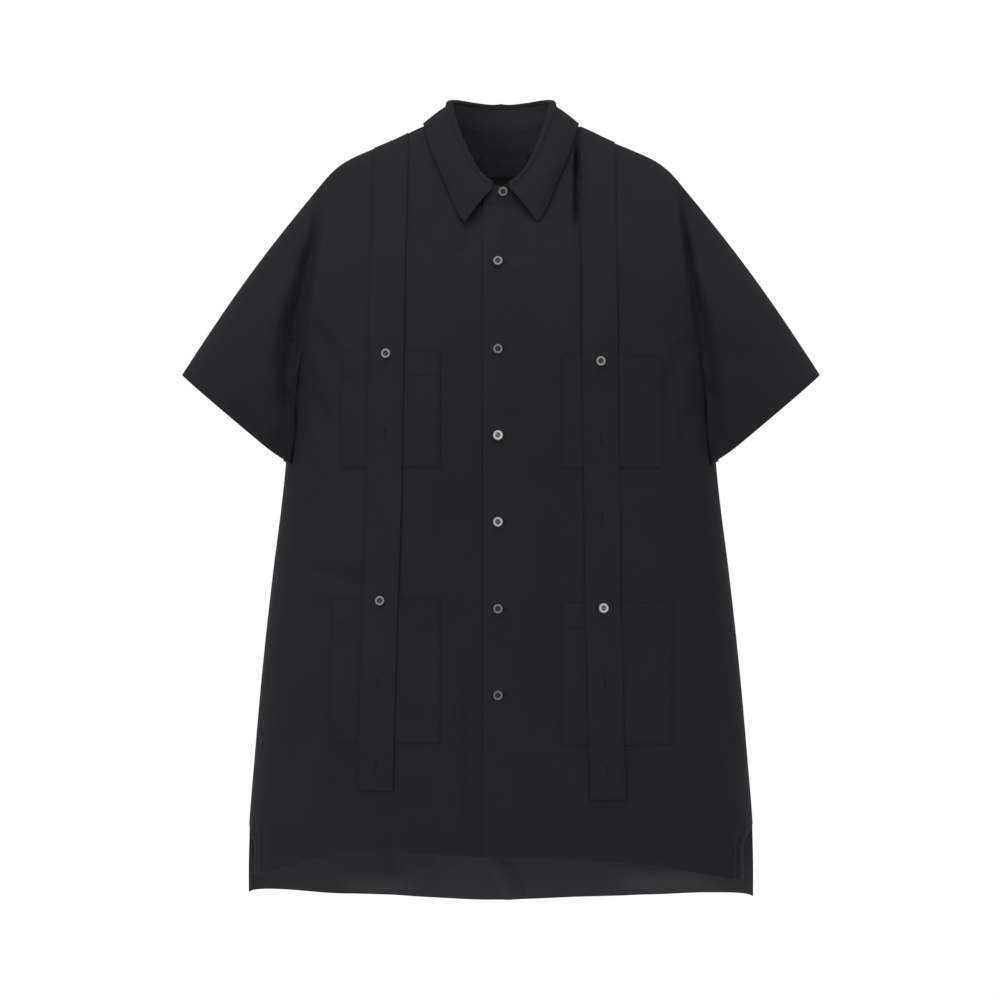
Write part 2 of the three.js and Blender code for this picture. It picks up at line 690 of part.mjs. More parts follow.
function makePocket(pocket) {
  const left = Math.min(pocket.inner, pocket.outer);
  const right = Math.max(pocket.inner, pocket.outer);
  const rows = steps(pocket.bottom, pocket.top, POCKET_STEPS).map((z) => (
    steps(left, right, POCKET_STEPS).map((x) => off(FRONT, x, z, LAYER + SLACK))
  ));
  return makeSheet(pocket.node, rows);
}

function makeLabel() {
  const rows = steps(LABEL.top - LABEL.height, LABEL.top, LABEL_ROWS).map((z) => (
    steps(1, -1, LABEL_COLUMNS).map((across) => {
      const x = LABEL.x + across * LABEL.width / 2;
      return off(BACK, x, z, -LABEL.inside);
    })
  ));
  return makeSheet('label', rows, false, SATIN_BLACK);
}

// Buttons stand on the cloth, each square to the surface under it.
function makeButton(node, foot, outward) {
  const profile = BUTTON_SECTION.map(({ radius, up }) => new THREE.Vector2(radius, up));
  const geometry = new THREE.LatheGeometry(profile, BUTTON_SIDES);
  const material = new THREE.MeshStandardMaterial({ color: SHELL_GREY, roughness: 0.35 });
  const mesh = new THREE.Mesh(geometry, material);
  mesh.name = node;
  mesh.quaternion.setFromUnitVectors(vector(0, 1, 0), outward);
  mesh.position.copy(foot).addScaledVector(outward, CLOTH / 2 + SEAM_GAP);
  return mesh;
}

function makeButtons() {
  const buttons = [];
  const low = standPoint(STAND_BUTTON.angle, 0);
  const high = standPoint(STAND_BUTTON.angle, 1);
  const up = high.clone().sub(low).normalize();
  const outward = vector(1, 0, 0).cross(up).normalize();
  const onStand = low.clone().lerp(high, STAND_BUTTON.share);
  buttons.push(makeButton('button_collar', onStand, outward));
  CENTRE_BUTTON_LEVELS.forEach((z, i) => {
    const lift = overlapLift(CENTRE_BUTTON_X);
    const foot = off(FRONT, CENTRE_BUTTON_X, z, lift);
    buttons.push(makeButton(`button_front_${i + 1}`, foot, outwardAt(FRONT, CENTRE_BUTTON_X, z)));
  });
  STRAP_BUTTONS.forEach(({ strap, z }, i) => {
    const { x, lift } = strapPoint(STRAPS[strap], 0, z);
    const foot = off(FRONT, x, z, lift);
    buttons.push(makeButton(`button_strap_${i + 1}`, foot, outwardAt(FRONT, x, z)));
  });
  return buttons;
}

const [frontRight, frontLeft] = makeFronts();
const back = makeBack();
const sewn = [
  frontRight,
  frontLeft,
  back,
  makeSleeve('sleeve_right', -1, frontRight, back),
  makeSleeve('sleeve_left', 1, frontLeft, back),
  makeStand(),
];
shareNormals(sewn);

const laid = [makeLeaf(), ...STRAPS.map(makeStrap), ...POCKETS.map(makePocket), makeLabel()];
const sheets = [...sewn, ...laid];
sheets.forEach(drawIn);

const shirt = new THREE.Group();
shirt.name = 'short_sleeve_shirt';
shirt.add(...sheets.map(wallMesh), ...makeButtons());

export default shirt;
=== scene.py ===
import math

import bpy
import numpy as np
from mathutils import Matrix, Vector


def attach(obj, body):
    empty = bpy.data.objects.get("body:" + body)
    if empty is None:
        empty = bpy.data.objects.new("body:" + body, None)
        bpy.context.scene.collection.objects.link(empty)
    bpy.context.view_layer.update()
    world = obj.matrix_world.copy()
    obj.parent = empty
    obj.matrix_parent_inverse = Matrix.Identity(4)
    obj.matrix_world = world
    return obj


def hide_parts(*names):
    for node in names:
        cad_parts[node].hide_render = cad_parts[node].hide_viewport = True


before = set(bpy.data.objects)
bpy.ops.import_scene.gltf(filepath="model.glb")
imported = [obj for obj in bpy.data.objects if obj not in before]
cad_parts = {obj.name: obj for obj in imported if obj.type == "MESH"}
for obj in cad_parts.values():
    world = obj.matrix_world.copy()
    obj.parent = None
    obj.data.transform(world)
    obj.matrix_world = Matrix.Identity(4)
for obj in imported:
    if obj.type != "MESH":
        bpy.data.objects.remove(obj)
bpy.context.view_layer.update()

# Camera. It stands level with the middle of the shirt and well back, with a long lens,
# so that the shirt is seen almost without perspective.
CAMERA_DISTANCE = 4.5  # in metres
VIEW_WIDTH = 1.09  # of what the picture takes in at that distance
VIEW_MIDDLE = (-0.0011, -0.125, -0.417)  # on the foremost part of the front
SENSOR_WIDTH = 36  # in millimetres, as the lens is
bpy.ops.object.camera_add(
    location=(VIEW_MIDDLE[0], VIEW_MIDDLE[1] - CAMERA_DISTANCE, VIEW_MIDDLE[2]),
    rotation=(math.pi / 2, 0, 0),
)
camera = bpy.context.object
camera.name = "camera"
camera.data.sensor_width = SENSOR_WIDTH
camera.data.lens = SENSOR_WIDTH * CAMERA_DISTANCE / VIEW_WIDTH
bpy.context.scene.camera = camera

# Fronts. Two panels of black plain-woven cotton, cut wide and boxy, sewn to the back at the
# shoulders and sides. The one on the viewer's right has a folded edge that laps over the
# other. Hems are turned up and stitched. Sizes are in millimetres.
MM = 0.001
WALL = 1.0  # thickness of one layer of cloth
MIDDLE = 4  # y of the plane of the side and shoulder seams
SQUARENESS = 2.4  # of a level section, where 2 is an ellipse
SHOULDER_END = 196  # x
ARMPIT = -312  # z
FRONT, BACK = -1, 1
SECTIONS = [  # z, half width, depth in front, depth behind
    (-890, 283, 149, 152), (-800, 282.5, 147, 150), (-700, 275, 144, 146),
    (-600, 266, 140, 142), (-500, 255, 136, 137), (-417, 244.5, 132, 133),
    (-360, 239, 129.5, 130), (-312, 236.5, 128, 127.5), (-250, 236, 126, 127),
    (-200, 236, 123, 126.5), (-157, 236, 117, 124), (-97, 236, 93, 113),
    (-50, 236, 75, 97), (0, 236, 62, 92), (45, 236, 54, 88),
]
ROUNDS_FROM = {FRONT: -300, BACK: -230}  # z, from where a face rounds over to the shoulder
CROWN = {FRONT: 2.2, BACK: 2.4}  # how square that rounding is
SHOULDER = [  # x, z
    (0, 31), (40, 20), (66, 9.5), (90, 0), (117, -13), (149, -26.5),
    (165, -33.5), (178, -41), (188, -49), (196, -57.5),
]
ARMHOLE = [  # z, x
    (-312, 236.5), (-307, 233), (-292, 227.5), (-260, 220.5), (-210, 209.5),
    (-150, 201.5), (-100, 197), (-57.5, 196),
]
FRONT_HEM = [  # x, z
    (-283, -835), (-232, -817), (-165, -800), (-80, -802), (0, -806), (64, -807),
    (117, -810), (190, -818), (283, -840),
]
VENT_TOP, VENT_SPREAD = -778, 26  # z, and how far down it takes to open
VENT_STEP = {-1: 7, 1: 13}  # how far a front's edge is set in from the back's
VENT_INSET = 0.0008  # share of the half width that keeps open edges off the form's side
FOLDS = [  # face, x, spread, depth, top
    (FRONT, -238, 20, -6, -470), (FRONT, 240, 20, -7, -500), (FRONT, -30, 22, -3, -640),
    (BACK, -205, 30, -9, -380), (BACK, -118, 36, 6, -330), (BACK, -18, 38, -10, -300),
    (BACK, 86, 38, 7, -360), (BACK, 182, 34, -9, -340),
]
HEM_LEVEL = -820.0  # z where the folds are full
OVER_EDGE, UNDER_EDGE = -19.6, 13  # x of the edges of the upper and the lower front
OVERLAP_LIFT = 1.9  # of the upper front over the lower one
OVERLAP_FROM, OVERLAP_FADE = 25, 35  # x where the lift starts to fade, and over how much
NECK_HALF = 66  # half width of the neck seam
NECK_REACH = {FRONT: 76, BACK: 52}  # of that seam, from the middle plane
HEIGHT_HALVINGS = 40  # in the search for a height on the form
SLOPE_STEP = 0.6  # over which the form's slope is measured
CREASE_FULL, CREASE_END = 0.28, 0.17  # shares of its length, from its middle and at its ends
LIP_PLACE, LIP_SPREAD, LIP_HEIGHT = 1.9, 0.9, 0.28  # shares of a crease's spread and depth
SEAM_FADE, RIDGE_FADE = 10, 60  # power of the half width, and distance below the shoulder
# Creases: from x, z to x, z, how far the middle bows sideways, spread and depth.
CREASES = {
    FRONT: [
        (-214, -215, -172, -300, 6, 9, -3.4), (-224, -286, -186, -345, 4, 8, -3.2),
        (-206, -250, -190, -292, -3, 6, 2.2), (-228, -352, -208, -470, 5, 12, -3.0),
        (-210, -492, -146, -512, 4, 9, -3.2), (-203, -520, -170, -585, -5, 11, -2.6),
        (-232, -560, -214, -700, 6, 14, -3.2), (-206, -655, -152, -712, -6, 12, -3.2),
        (-190, -610, -205, -760, 8, 15, 2.4), (-90, -560, -84, -700, 5, 16, -1.6),
        (-58, -300, -48, -470, -5, 17, -1.8), (-92, -120, -70, -235, 6, 15, -1.8),
        (-34, -600, -29, -800, -3, 9, -3.4), (-34, -190, -26, -330, 3, 10, -2.0),
        (30, -150, 60, -330, 6, 20, -1.5), (64, -470, 52, -640, -6, 18, -1.7),
        (62, -655, 88, -700, 3, 9, -2.2), (96, -120, 84, -250, 4, 14, -2.0),
        (150, -120, 168, -250, -6, 16, -1.8), (208, -240, 178, -322, -5, 9, -3.0),
        (226, -300, 196, -380, -4, 9, -3.0), (216, -420, 206, -560, 6, 15, -2.6),
        (150, -548, 148, -610, 3, 10, -2.6), (196, -590, 214, -760, -6, 15, -3.0),
        (142, -690, 160, -790, 5, 13, -2.4), (232, -640, 244, -800, 3, 12, 2.6),
        (20, -690, 34, -800, 4, 15, -1.8), (-120, -750, -112, -802, 3, 12, -1.8),
        (85, -14, 83.5, -118, 0, 3.2, -6.5), (85.5, 2, 84.5, -52, 0, 3, -8),
        (-30, -92, -44, -150, 4, 12, -4.5), (12, -112, 22, -160, -3, 12, -3.5),
        (264, -784, 264, -848, 0, 3.2, -11), (-272, -780, -272, -842, 0, 2.6, -13),
    ],
    BACK: [
        (-150, -90, -120, -330, 10, 26, -3.5), (-52, -60, -46, -300, -7, 24, -2.6),
        (60, -80, 42, -360, 8, 26, -3.0), (150, -100, 128, -300, -8, 24, -3.4),
        (-218, -240, -176, -330, 6, 10, -3.6), (-226, -320, -190, -430, 5, 12, -3.4),
        (219, -236, 182, -318, -5, 10, -3.4), (227, -330, 196, -450, -4, 13, -3.2),
        (-160, -420, -150, -700, 9, 22, -3.8), (-86, -470, -74, -760, -8, 20, 3.2),
        (22, -430, 30, -700, 8, 24, 3.0), (120, -440, 132, -740, 9, 20, -3.8),
        (212, -520, 226, -780, -5, 16, -3.6), (-222, -540, -236, -790, 4, 15, -3.2),
        (-40, -640, -52, -830, 4, 14, -2.8), (70, -660, 86, -840, -5, 15, -3.0),
        (165, -700, 176, -850, 4, 13, 2.8), (-130, -720, -122, -850, -4, 12, 2.6),
        (140, -873, 246, -868, 2, 12, 9), (-182, -872, -104, -876, 1, 11, 6),
        (-6, -832, 12, -884, 3, 8, -5),
    ],
}


def along(table, column, at):
    """Reads one column of a table at the places given, on a smooth curve through its rows."""
    keys, values = np.array(sorted((row[0], row[column]) for row in table), float).T
    wide = np.diff(keys)
    slope = np.empty_like(keys)
    slope[1:-1] = (values[2:] - values[:-2]) / (keys[2:] - keys[:-2])
    slope[0] = (values[1] - values[0]) / wide[0]
    slope[-1] = (values[-1] - values[-2]) / wide[-1]
    at = np.clip(at, keys[0], keys[-1])
    i = np.clip(np.searchsorted(keys, at, side="right") - 1, 0, len(wide) - 1)
    t = (at - keys[i]) / wide[i]
    rise = 3 * t**2 - 2 * t**3
    bent = (t**3 - 2 * t**2 + t) * slope[i] + (t**3 - t**2) * slope[i + 1]
    return values[i] + (values[i + 1] - values[i]) * rise + wide[i] * bent


def soft_step(share):
    share = np.clip(share, 0, 1)
    return share * share * (3 - 2 * share)


def mix(a, b, share):
    return a + (b - a) * share


def shoulder_height(x):
    return along(SHOULDER, 1, np.abs(x))


def half_width(z):
    return along(SECTIONS, 1, z)


def vent_open(z):
    return soft_step((VENT_TOP - z) / VENT_SPREAD)


def vent_step(face, x, z):
    if face == BACK:
        return 0 * z
    return vent_open(z) * np.where(x < 0, VENT_STEP[-1], VENT_STEP[1])


def as_arrays(x, z):
    return np.broadcast_arrays(np.asarray(x, float), np.asarray(z, float))


def form_depth(face, x, z):
    """How far the form of the shirt lies before or behind its middle plane."""
    across = np.minimum(np.abs(x) / (half_width(z) - vent_step(face, x, z)), 1)
    rounded = (1 - across**SQUARENESS) ** (1 / SQUARENESS)
    level = (z - ROUNDS_FROM[face]) / (shoulder_height(x) - ROUNDS_FROM[face])
    over = (1 - np.clip(level, 0, 1) ** CROWN[face]) ** (1 / CROWN[face])
    reach = along(SECTIONS, 2 if face == FRONT else 3, z)
    for of, middle, spread, fold, top in FOLDS:
        if of == face:
            down = soft_step((top - z) / (top - HEM_LEVEL))
            reach = reach + fold * np.exp(-(((x - middle) / spread) ** 2)) * down
    return reach * rounded * over


def on_form(face, x, z):
    x, z = as_arrays(x, z)
    return np.stack([x, MIDDLE + face * form_depth(face, x, z), z], -1)


def outward(face, x, z):
    """The direction square to the form, away from the wearer."""
    x, z = as_arrays(x, z)
    top = np.minimum(z + SLOPE_STEP, shoulder_height(x))
    across = on_form(face, x + SLOPE_STEP, z) - on_form(face, x - SLOPE_STEP, z)
    up = on_form(face, x, top) - on_form(face, x, top - 2 * SLOPE_STEP)
    square = np.cross(across, up) * -face
    return square / np.linalg.norm(square, axis=-1, keepdims=True)


def crease(face, x, z):
    """Soft troughs and ridges pressed into the form. They fade out at the seams."""
    sunk = np.zeros(np.broadcast(x, z).shape)
    for x0, z0, x1, z1, bow, spread, deep in CREASES[face]:
        run = np.array([x1 - x0, z1 - z0], float)
        length = np.linalg.norm(run)
        run /= length
        t = ((x - x0) * run[0] + (z - z0) * run[1]) / length
        side = (x - x0) * -run[1] + (z - z0) * run[0]
        inside = np.clip(t, 0, 1)
        side = side - bow * np.sin(np.pi * inside)
        past_full = np.maximum(np.abs(t - 0.5) - CREASE_FULL, 0)
        ends = np.exp(-((past_full / CREASE_END) ** 2))
        trough = np.exp(-((side / spread) ** 2))
        off_lip = (np.abs(side) - LIP_PLACE * spread) / (LIP_SPREAD * spread)
        lips = np.exp(-(off_lip**2))
        sunk = sunk + deep * ends * (trough - LIP_HEIGHT * lips)
    edge = np.clip(np.abs(x) / half_width(z), 0, 1)
    below_ridge = np.clip((shoulder_height(x) - z) / RIDGE_FADE, 0, 1)
    return sunk * (1 - edge**SEAM_FADE) * soft_step(below_ridge)


def off(face, x, z, lift):
    """A point on the creased form, moved out by a lift."""
    raised = np.asarray(lift + crease(face, x, z))[..., None]
    return on_form(face, x, z) + outward(face, x, z) * raised


def height_over(face, x, y):
    """The height where the form passes over a point of the plan."""
    low = np.full(np.shape(x), float(ROUNDS_FROM[face]))
    high = shoulder_height(x)
    for _ in range(HEIGHT_HALVINGS):
        z = (low + high) / 2
        under = form_depth(face, x, z) > np.abs(y - MIDDLE)
        low, high = np.where(under, z, low), np.where(under, high, z)
    return (low + high) / 2


def overlap_lift(x):
    return OVERLAP_LIFT * (1 - soft_step((x - OVERLAP_FROM) / OVERLAP_FADE))


def no_lift(x):
    return 0 * x


def on_ridge(x):
    """Points of the shoulder seam."""
    return np.stack([x, 0 * x + MIDDLE, shoulder_height(x)], -1)


def neck_lift(angle):
    lift = overlap_lift(NECK_HALF * np.sin(np.radians(angle)))
    return np.where(angle > 90, lift, 0)


def neck_seam(angle, lift=0):
    """Points of the neck seam. Angle 0 is the middle of the back and 180 of the front."""
    angle = np.asarray(angle, float)
    turn = np.radians(angle)
    x = NECK_HALF * np.sin(turn)
    found = np.empty(angle.shape + (3,))
    for face, mine in ((BACK, np.abs(angle) < 90), (FRONT, np.abs(angle) > 90)):
        y = MIDDLE + NECK_REACH[face] * np.cos(turn[mine])
        z = height_over(face, x[mine], y)
        raised = outward(face, x[mine], z) * np.broadcast_to(lift, angle.shape)[mine][..., None]
        found[mine] = on_form(face, x[mine], z) + raised
    mine = np.abs(angle) == 90
    found[mine] = on_ridge(x)[mine]
    return found


OVER_END = 180 - math.degrees(math.asin(OVER_EDGE / NECK_HALF))
UNDER_END = 180 - math.degrees(math.asin(UNDER_EDGE / NECK_HALF)) - 360


def panel(face, side, inner, neck, hem, lift, shoulder_columns, rows):
    """Points of a body panel, row by row from its hem, column by column from its inner edge."""
    shoulder_x = np.linspace(NECK_HALF, SHOULDER_END, shoulder_columns + 1)[1:]
    top = np.concatenate([neck, on_ridge(side * shoulder_x)])
    count = len(top) - 1
    share = np.arange(count + 1) / count
    even = np.sin(np.pi / 2 * share)
    top_share = (top[:, 0] * side - inner) / (SHOULDER_END - inner)
    below, above = rows
    points = []
    for r in np.arange(below) / below:
        rough = mix(inner, half_width(HEM_LEVEL), even)
        z = mix(along(hem, 1, side * rough), ARMPIT, r)
        edge = half_width(z) - vent_step(face, side, z)
        edge = edge * (1 - VENT_INSET * vent_open(z))
        x = side * mix(inner, edge, even)
        points.append(off(face, x, z, lift(x)))
    for r in np.arange(above + 1) / above:
        climb = (1 - np.cos(np.pi * r)) / 2
        z = mix(ARMPIT, top[:, 2], climb)
        edge = along(ARMHOLE, 1, mix(ARMPIT, shoulder_height(SHOULDER_END), climb))
        x = side * mix(inner, edge, mix(even, top_share, math.sin(math.pi / 2 * r)))
        points.append(off(face, x, z, lift(x)) if r < 1 else top)
    return np.array(points)


def srgb(code):
    """A hex colour as the shader's linear numbers."""
    parts = [int(code[i : i + 2], 16) / 255 for i in (1, 3, 5)]
    return [c / 12.92 if c <= 0.04045 else ((c + 0.055) / 1.055) ** 2.4 for c in parts] + [1]


def feed(tree, node, links, values):
    """Gives a node the sockets that feed it and its constant values."""
    for key, value in values.items():
        node.inputs[key].default_value = value
    for key, source in links.items():
        tree.links.new(source, node.inputs[key])
    return node


def add_node(tree, kind, settings={}, links={}, values={}):
    """Adds a node with its settings and what it is fed."""
    made = tree.nodes.new(kind)
    for key, value in settings.items():
        setattr(made, key, value)
    return feed(tree, made, links, values)


def new_material(name):
    """A new material, its node tree and its shader."""
    made = bpy.data.materials.new(name)
    made.use_nodes = True
    return made, made.node_tree, made.node_tree.nodes["Principled BSDF"]


# Black cotton poplin, dyed in the piece: matt, with a faint bloom at grazing light. Its
# threads lie 0.35 mm apart, too fine for the picture, so the weave is drawn at 1 mm.
THREAD_PITCH = 1.0
WAVE_RADIANS = 20  # that a wave texture of scale 1 turns through in a metre
DYE_CLOUDS = 9  # to a metre, so each is about 110 mm across
SLUBS = (900, 60, 1)  # to a metre, so each is about 1 mm wide and 17 mm long


def woven_cotton(name, light, dark, sheen):
    cloth, tree, shader = new_material(name)
    place = add_node(tree, "ShaderNodeTexCoord").outputs["UV"]
    per_metre = 1000 / THREAD_PITCH
    wave = {"Scale": per_metre / WAVE_RADIANS * math.pi * 2, "Distortion": 0.6, "Detail": 1}
    warp = add_node(tree, "ShaderNodeTexWave", {"bands_direction": "X"}, {"Vector": place}, wave)
    weft = add_node(tree, "ShaderNodeTexWave", {"bands_direction": "Y"}, {"Vector": place}, wave)
    woven = add_node(tree, "ShaderNodeMath", {"operation": "MULTIPLY"},
                     {0: warp.outputs["Fac"], 1: weft.outputs["Fac"]})
    cloudy = add_node(tree, "ShaderNodeTexNoise", {}, {"Vector": place},
                      {"Scale": DYE_CLOUDS, "Detail": 3, "Roughness": 0.6})
    slubs = add_node(tree, "ShaderNodeMapping", {}, {"Vector": place}, {"Scale": SLUBS})
    slub = add_node(tree, "ShaderNodeTexNoise", {}, {"Vector": slubs.outputs["Vector"]},
                    {"Scale": 1, "Detail": 2})
    tone = add_node(tree, "ShaderNodeMath", {"operation": "MULTIPLY_ADD"},
                    {0: slub.outputs["Fac"], 2: cloudy.outputs["Fac"]}, {1: 0.5})
    blend = add_node(tree, "ShaderNodeMapRange", {}, {"Value": tone.outputs[0]},
                     {"From Min": 0.4, "From Max": 1.1})
    colour = add_node(tree, "ShaderNodeMix", {"data_type": "RGBA"},
                      {0: blend.outputs["Result"]}, {6: srgb(dark), 7: srgb(light)})
    bump = add_node(tree, "ShaderNodeBump", {}, {"Height": woven.outputs[0]},
                    {"Strength": 0.18, "Distance": 0.0003})
    feed(tree, shader, {"Base Color": colour.outputs[2], "Normal": bump.outputs["Normal"]},
         {"Roughness": 0.9, "Specular IOR Level": 0.06, "Sheen Weight": sheen,
          "Sheen Roughness": 0.45, "Sheen Tint": srgb("#9a9da4")})
    return cloth


COTTON_SHEEN = 0.02
black_cotton = woven_cotton("black cotton poplin", "#1d2022", "#191b1c", COTTON_SHEEN)
# The reverse is painted paler than the face. This is painted light: it stands in for the light
# that comes through the thin cloth and for the light inside the shirt.
reverse_with_painted_light = woven_cotton(
    "black cotton poplin, reverse with painted light", "#393c3e", "#313435", COTTON_SHEEN
)
MERGE_DISTANCE = 0.00001  # in metres, where a ring of cloth closes
SMOOTH_BELOW = math.radians(50)


def lay_cloth(name, points, wall, material, reverse=None, ring=False):
    """Lays a grid of cloth on points: rows go up and columns right, seen from outside."""
    rows, columns = points.shape[:2]
    bpy.ops.object.select_all(action="DESELECT")
    bpy.ops.mesh.primitive_grid_add(x_subdivisions=columns - 1, y_subdivisions=rows - 1, size=1)
    piece = bpy.context.object
    piece.name = piece.data.name = name
    mesh = piece.data
    flat = np.empty(len(mesh.vertices) * 3)
    mesh.vertices.foreach_get("co", flat)
    flat = flat.reshape(-1, 3)
    column = np.rint((flat[:, 0] + 0.5) * (columns - 1)).astype(int)
    row = np.rint((flat[:, 1] + 0.5) * (rows - 1)).astype(int)
    mesh.vertices.foreach_set("co", (points[row, column] * MM).ravel())
    # The map is in metres of cloth, measured along the rows and up the columns.
    u = np.cumsum(np.linalg.norm(np.diff(points, axis=1, prepend=points[:, :1]), axis=-1), 1)
    v = np.cumsum(np.linalg.norm(np.diff(points, axis=0, prepend=points[:1]), axis=-1), 0)
    corner = np.empty(len(mesh.loops), int)
    mesh.loops.foreach_get("vertex_index", corner)
    measured = np.stack([u[row, column], v[row, column]], -1)[corner] * MM
    mesh.uv_layers.active.data.foreach_set("uv", measured.ravel())
    mesh.update()
    if ring:
        bpy.ops.object.mode_set(mode="EDIT")
        bpy.ops.mesh.select_all(action="SELECT")
        bpy.ops.mesh.remove_doubles(threshold=MERGE_DISTANCE)
        bpy.ops.object.mode_set(mode="OBJECT")
    mesh.materials.append(material)
    mesh.materials.append(reverse or material)
    thicken = piece.modifiers.new("wall", "SOLIDIFY")
    thicken.thickness = wall * MM
    thicken.offset = 0
    thicken.material_offset = 1
    bpy.ops.object.modifier_apply(modifier=thicken.name)
    bpy.ops.object.shade_smooth_by_angle(angle=SMOOTH_BELOW)
    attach(piece, "root")
    return piece


# Sewing thread, black spun polyester, dull and finely twisted. One stitch is a short
# round-ended bar, laid again and again along a seam's line, a little sunk in the cloth.
TWISTS = 900  # scale of the wave that draws one twist every 0.35 mm
black_thread, tree, shader = new_material("black spun polyester thread")
place = add_node(tree, "ShaderNodeTexCoord").outputs["Object"]
ply = add_node(tree, "ShaderNodeTexWave", {"bands_direction": "DIAGONAL"}, {"Vector": place},
               {"Scale": TWISTS, "Distortion": 1})
twist = add_node(tree, "ShaderNodeBump", {}, {"Height": ply.outputs["Fac"]},
                 {"Strength": 0.3, "Distance": 0.0001})
tint = add_node(tree, "ShaderNodeMix", {"data_type": "RGBA"}, {0: ply.outputs["Fac"]},
                {6: srgb("#131516"), 7: srgb("#1b1d1e")})
feed(tree, shader, {"Base Color": tint.outputs[2], "Normal": twist.outputs["Normal"]},
     {"Roughness": 0.8, "Specular IOR Level": 0.08})
bpy.ops.object.select_all(action="DESELECT")
bpy.ops.mesh.primitive_ico_sphere_add(subdivisions=1, radius=0.5)
stitch_model = bpy.context.object
STITCH = np.array([v.co for v in stitch_model.data.vertices])
STITCH_FACES = np.array([f.vertices for f in stitch_model.data.polygons])
bpy.data.objects.remove(stitch_model)
STITCH_SIZE = (2.3, 0.5, 0.4)  # along the seam, across it, out of the cloth
STITCH_PITCH = 3.0


def stitches_along(points, square, size=STITCH_SIZE, pitch=STITCH_PITCH, turned=False):
    """Stitches along a line of points on the cloth, or across the line if they are turned."""
    points, square = np.array(points, float), np.array(square, float)
    run = np.concatenate([[0], np.cumsum(np.linalg.norm(np.diff(points, axis=0), axis=1))])

    def read(rows, at):
        return np.stack([np.interp(at, run, rows[:, k]) for k in range(3)], -1)

    at = np.arange(pitch / 2, run[-1], pitch)
    middle, out = read(points, at), read(square, at)
    ahead = read(points, at + 0.5) - read(points, at - 0.5)
    ahead /= np.linalg.norm(ahead, axis=1, keepdims=True)
    aside = np.cross(out, ahead)
    aside /= np.linalg.norm(aside, axis=1, keepdims=True)
    out = np.cross(ahead, aside)
    if turned:
        ahead, aside = aside, -ahead
    corners = middle[:, None]
    for axis, direction in enumerate((ahead, aside, out)):
        corners = corners + (STITCH * size)[None, :, axis, None] * direction[:, None]
    return corners.reshape(-1, 3)


def sew(name, groups):
    """Makes one object of all the stitches in the groups."""
    points = np.concatenate(groups)
    count = len(points) // len(STITCH)
    first = len(STITCH) * np.arange(count)[:, None, None]
    faces = (STITCH_FACES[None] + first).reshape(-1, 3)
    mesh = bpy.data.meshes.new(name)
    mesh.from_pydata((points * MM).tolist(), [], faces.tolist())
    thread = bpy.data.objects.new(name, mesh)
    bpy.context.collection.objects.link(thread)
    mesh.shade_smooth()
    mesh.materials.append(black_thread)
    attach(thread, "root")


def on_cloth(face, x, z, lift):
    """Stitches along a line on a panel, given by its x and z."""
    x, z = as_arrays(x, z)
    return stitches_along(off(face, x, z, lift + WALL / 2), outward(face, x, z))


OVER_COLUMNS, UNDER_COLUMNS, SHOULDER_COLUMNS = 34, 30, 60
FRONT_ROWS = (120, 110)  # below the armpit and above it
over_angles = np.linspace(OVER_END, 90, OVER_COLUMNS)
over_points = panel(FRONT, 1, OVER_EDGE, neck_seam(over_angles, neck_lift(over_angles)),
                    FRONT_HEM, overlap_lift, SHOULDER_COLUMNS, FRONT_ROWS)
front_left = lay_cloth("front_left_cloth", over_points, WALL, black_cotton, reverse_with_painted_light)
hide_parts("front_left")

under_angles = np.linspace(UNDER_END, -90, UNDER_COLUMNS)
under_points = panel(FRONT, -1, -UNDER_EDGE, neck_seam(under_angles), FRONT_HEM,
                     no_lift, SHOULDER_COLUMNS, FRONT_ROWS)[:, ::-1]
front_right = lay_cloth("front_right_cloth", under_points, WALL, black_cotton, reverse_with_painted_light)
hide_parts("front_right")

HEM_STITCH, VENT_STITCH = 9, 3  # in from the hem and from the edge of a vent
HEM_STITCH_END = {FRONT: 258, BACK: 262}  # x
HEM_STITCH_START = 2  # in from the front edge
VENT_STITCH_FROM = 265  # x where it starts on the hem's row
VENT_STITCH_PAST = 4  # above the vent's top
HEM_POINTS, VENT_POINTS = {FRONT: 300, BACK: 600}, 60  # that the lines are drawn through


def hem_stitches(face, x, hem, lift):
    return on_cloth(face, x, along(hem, 1, x) + HEM_STITCH, lift(x))


def vent_stitches(face, side, hem):
    start = along(hem, 1, side * VENT_STITCH_FROM) + HEM_STITCH
    z = np.linspace(start, VENT_TOP + VENT_STITCH_PAST, VENT_POINTS)
    x = side * (half_width(z) - vent_step(face, side, z) - VENT_STITCH)
    return on_cloth(face, x, z, 0)


sewn = []
for side, inner, lift in ((1, OVER_EDGE, overlap_lift), (-1, -UNDER_EDGE, no_lift)):
    start = inner + HEM_STITCH_START
    x = side * np.linspace(start, HEM_STITCH_END[FRONT], HEM_POINTS[FRONT])
    sewn.append(hem_stitches(FRONT, x, FRONT_HEM, lift))
    sewn.append(vent_stitches(FRONT, side, FRONT_HEM))
sew("front_hem_stitches", sewn)

# Back. One panel of the same cotton, without a yoke. It hangs lower than the fronts and is
# open from them at the side vents.
BACK_HEM = [(-283, -857), (-170, -871), (0, -879), (170, -872), (283, -862)]  # x, z
BACK_NECK_COLUMNS, BACK_SHOULDER_COLUMNS = 22, 36
BACK_ROWS = (130, 90)
half_angles = np.linspace(0, 90, BACK_NECK_COLUMNS)
halves = [panel(BACK, side, 0, neck_seam(side * half_angles), BACK_HEM, no_lift,
                BACK_SHOULDER_COLUMNS, BACK_ROWS) for side in (1, -1)]
back_points = np.concatenate([halves[0][:, ::-1], halves[1][:, 1:]], 1)
back = lay_cloth("back_cloth", back_points, WALL, black_cotton, reverse_with_painted_light)
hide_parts("back")

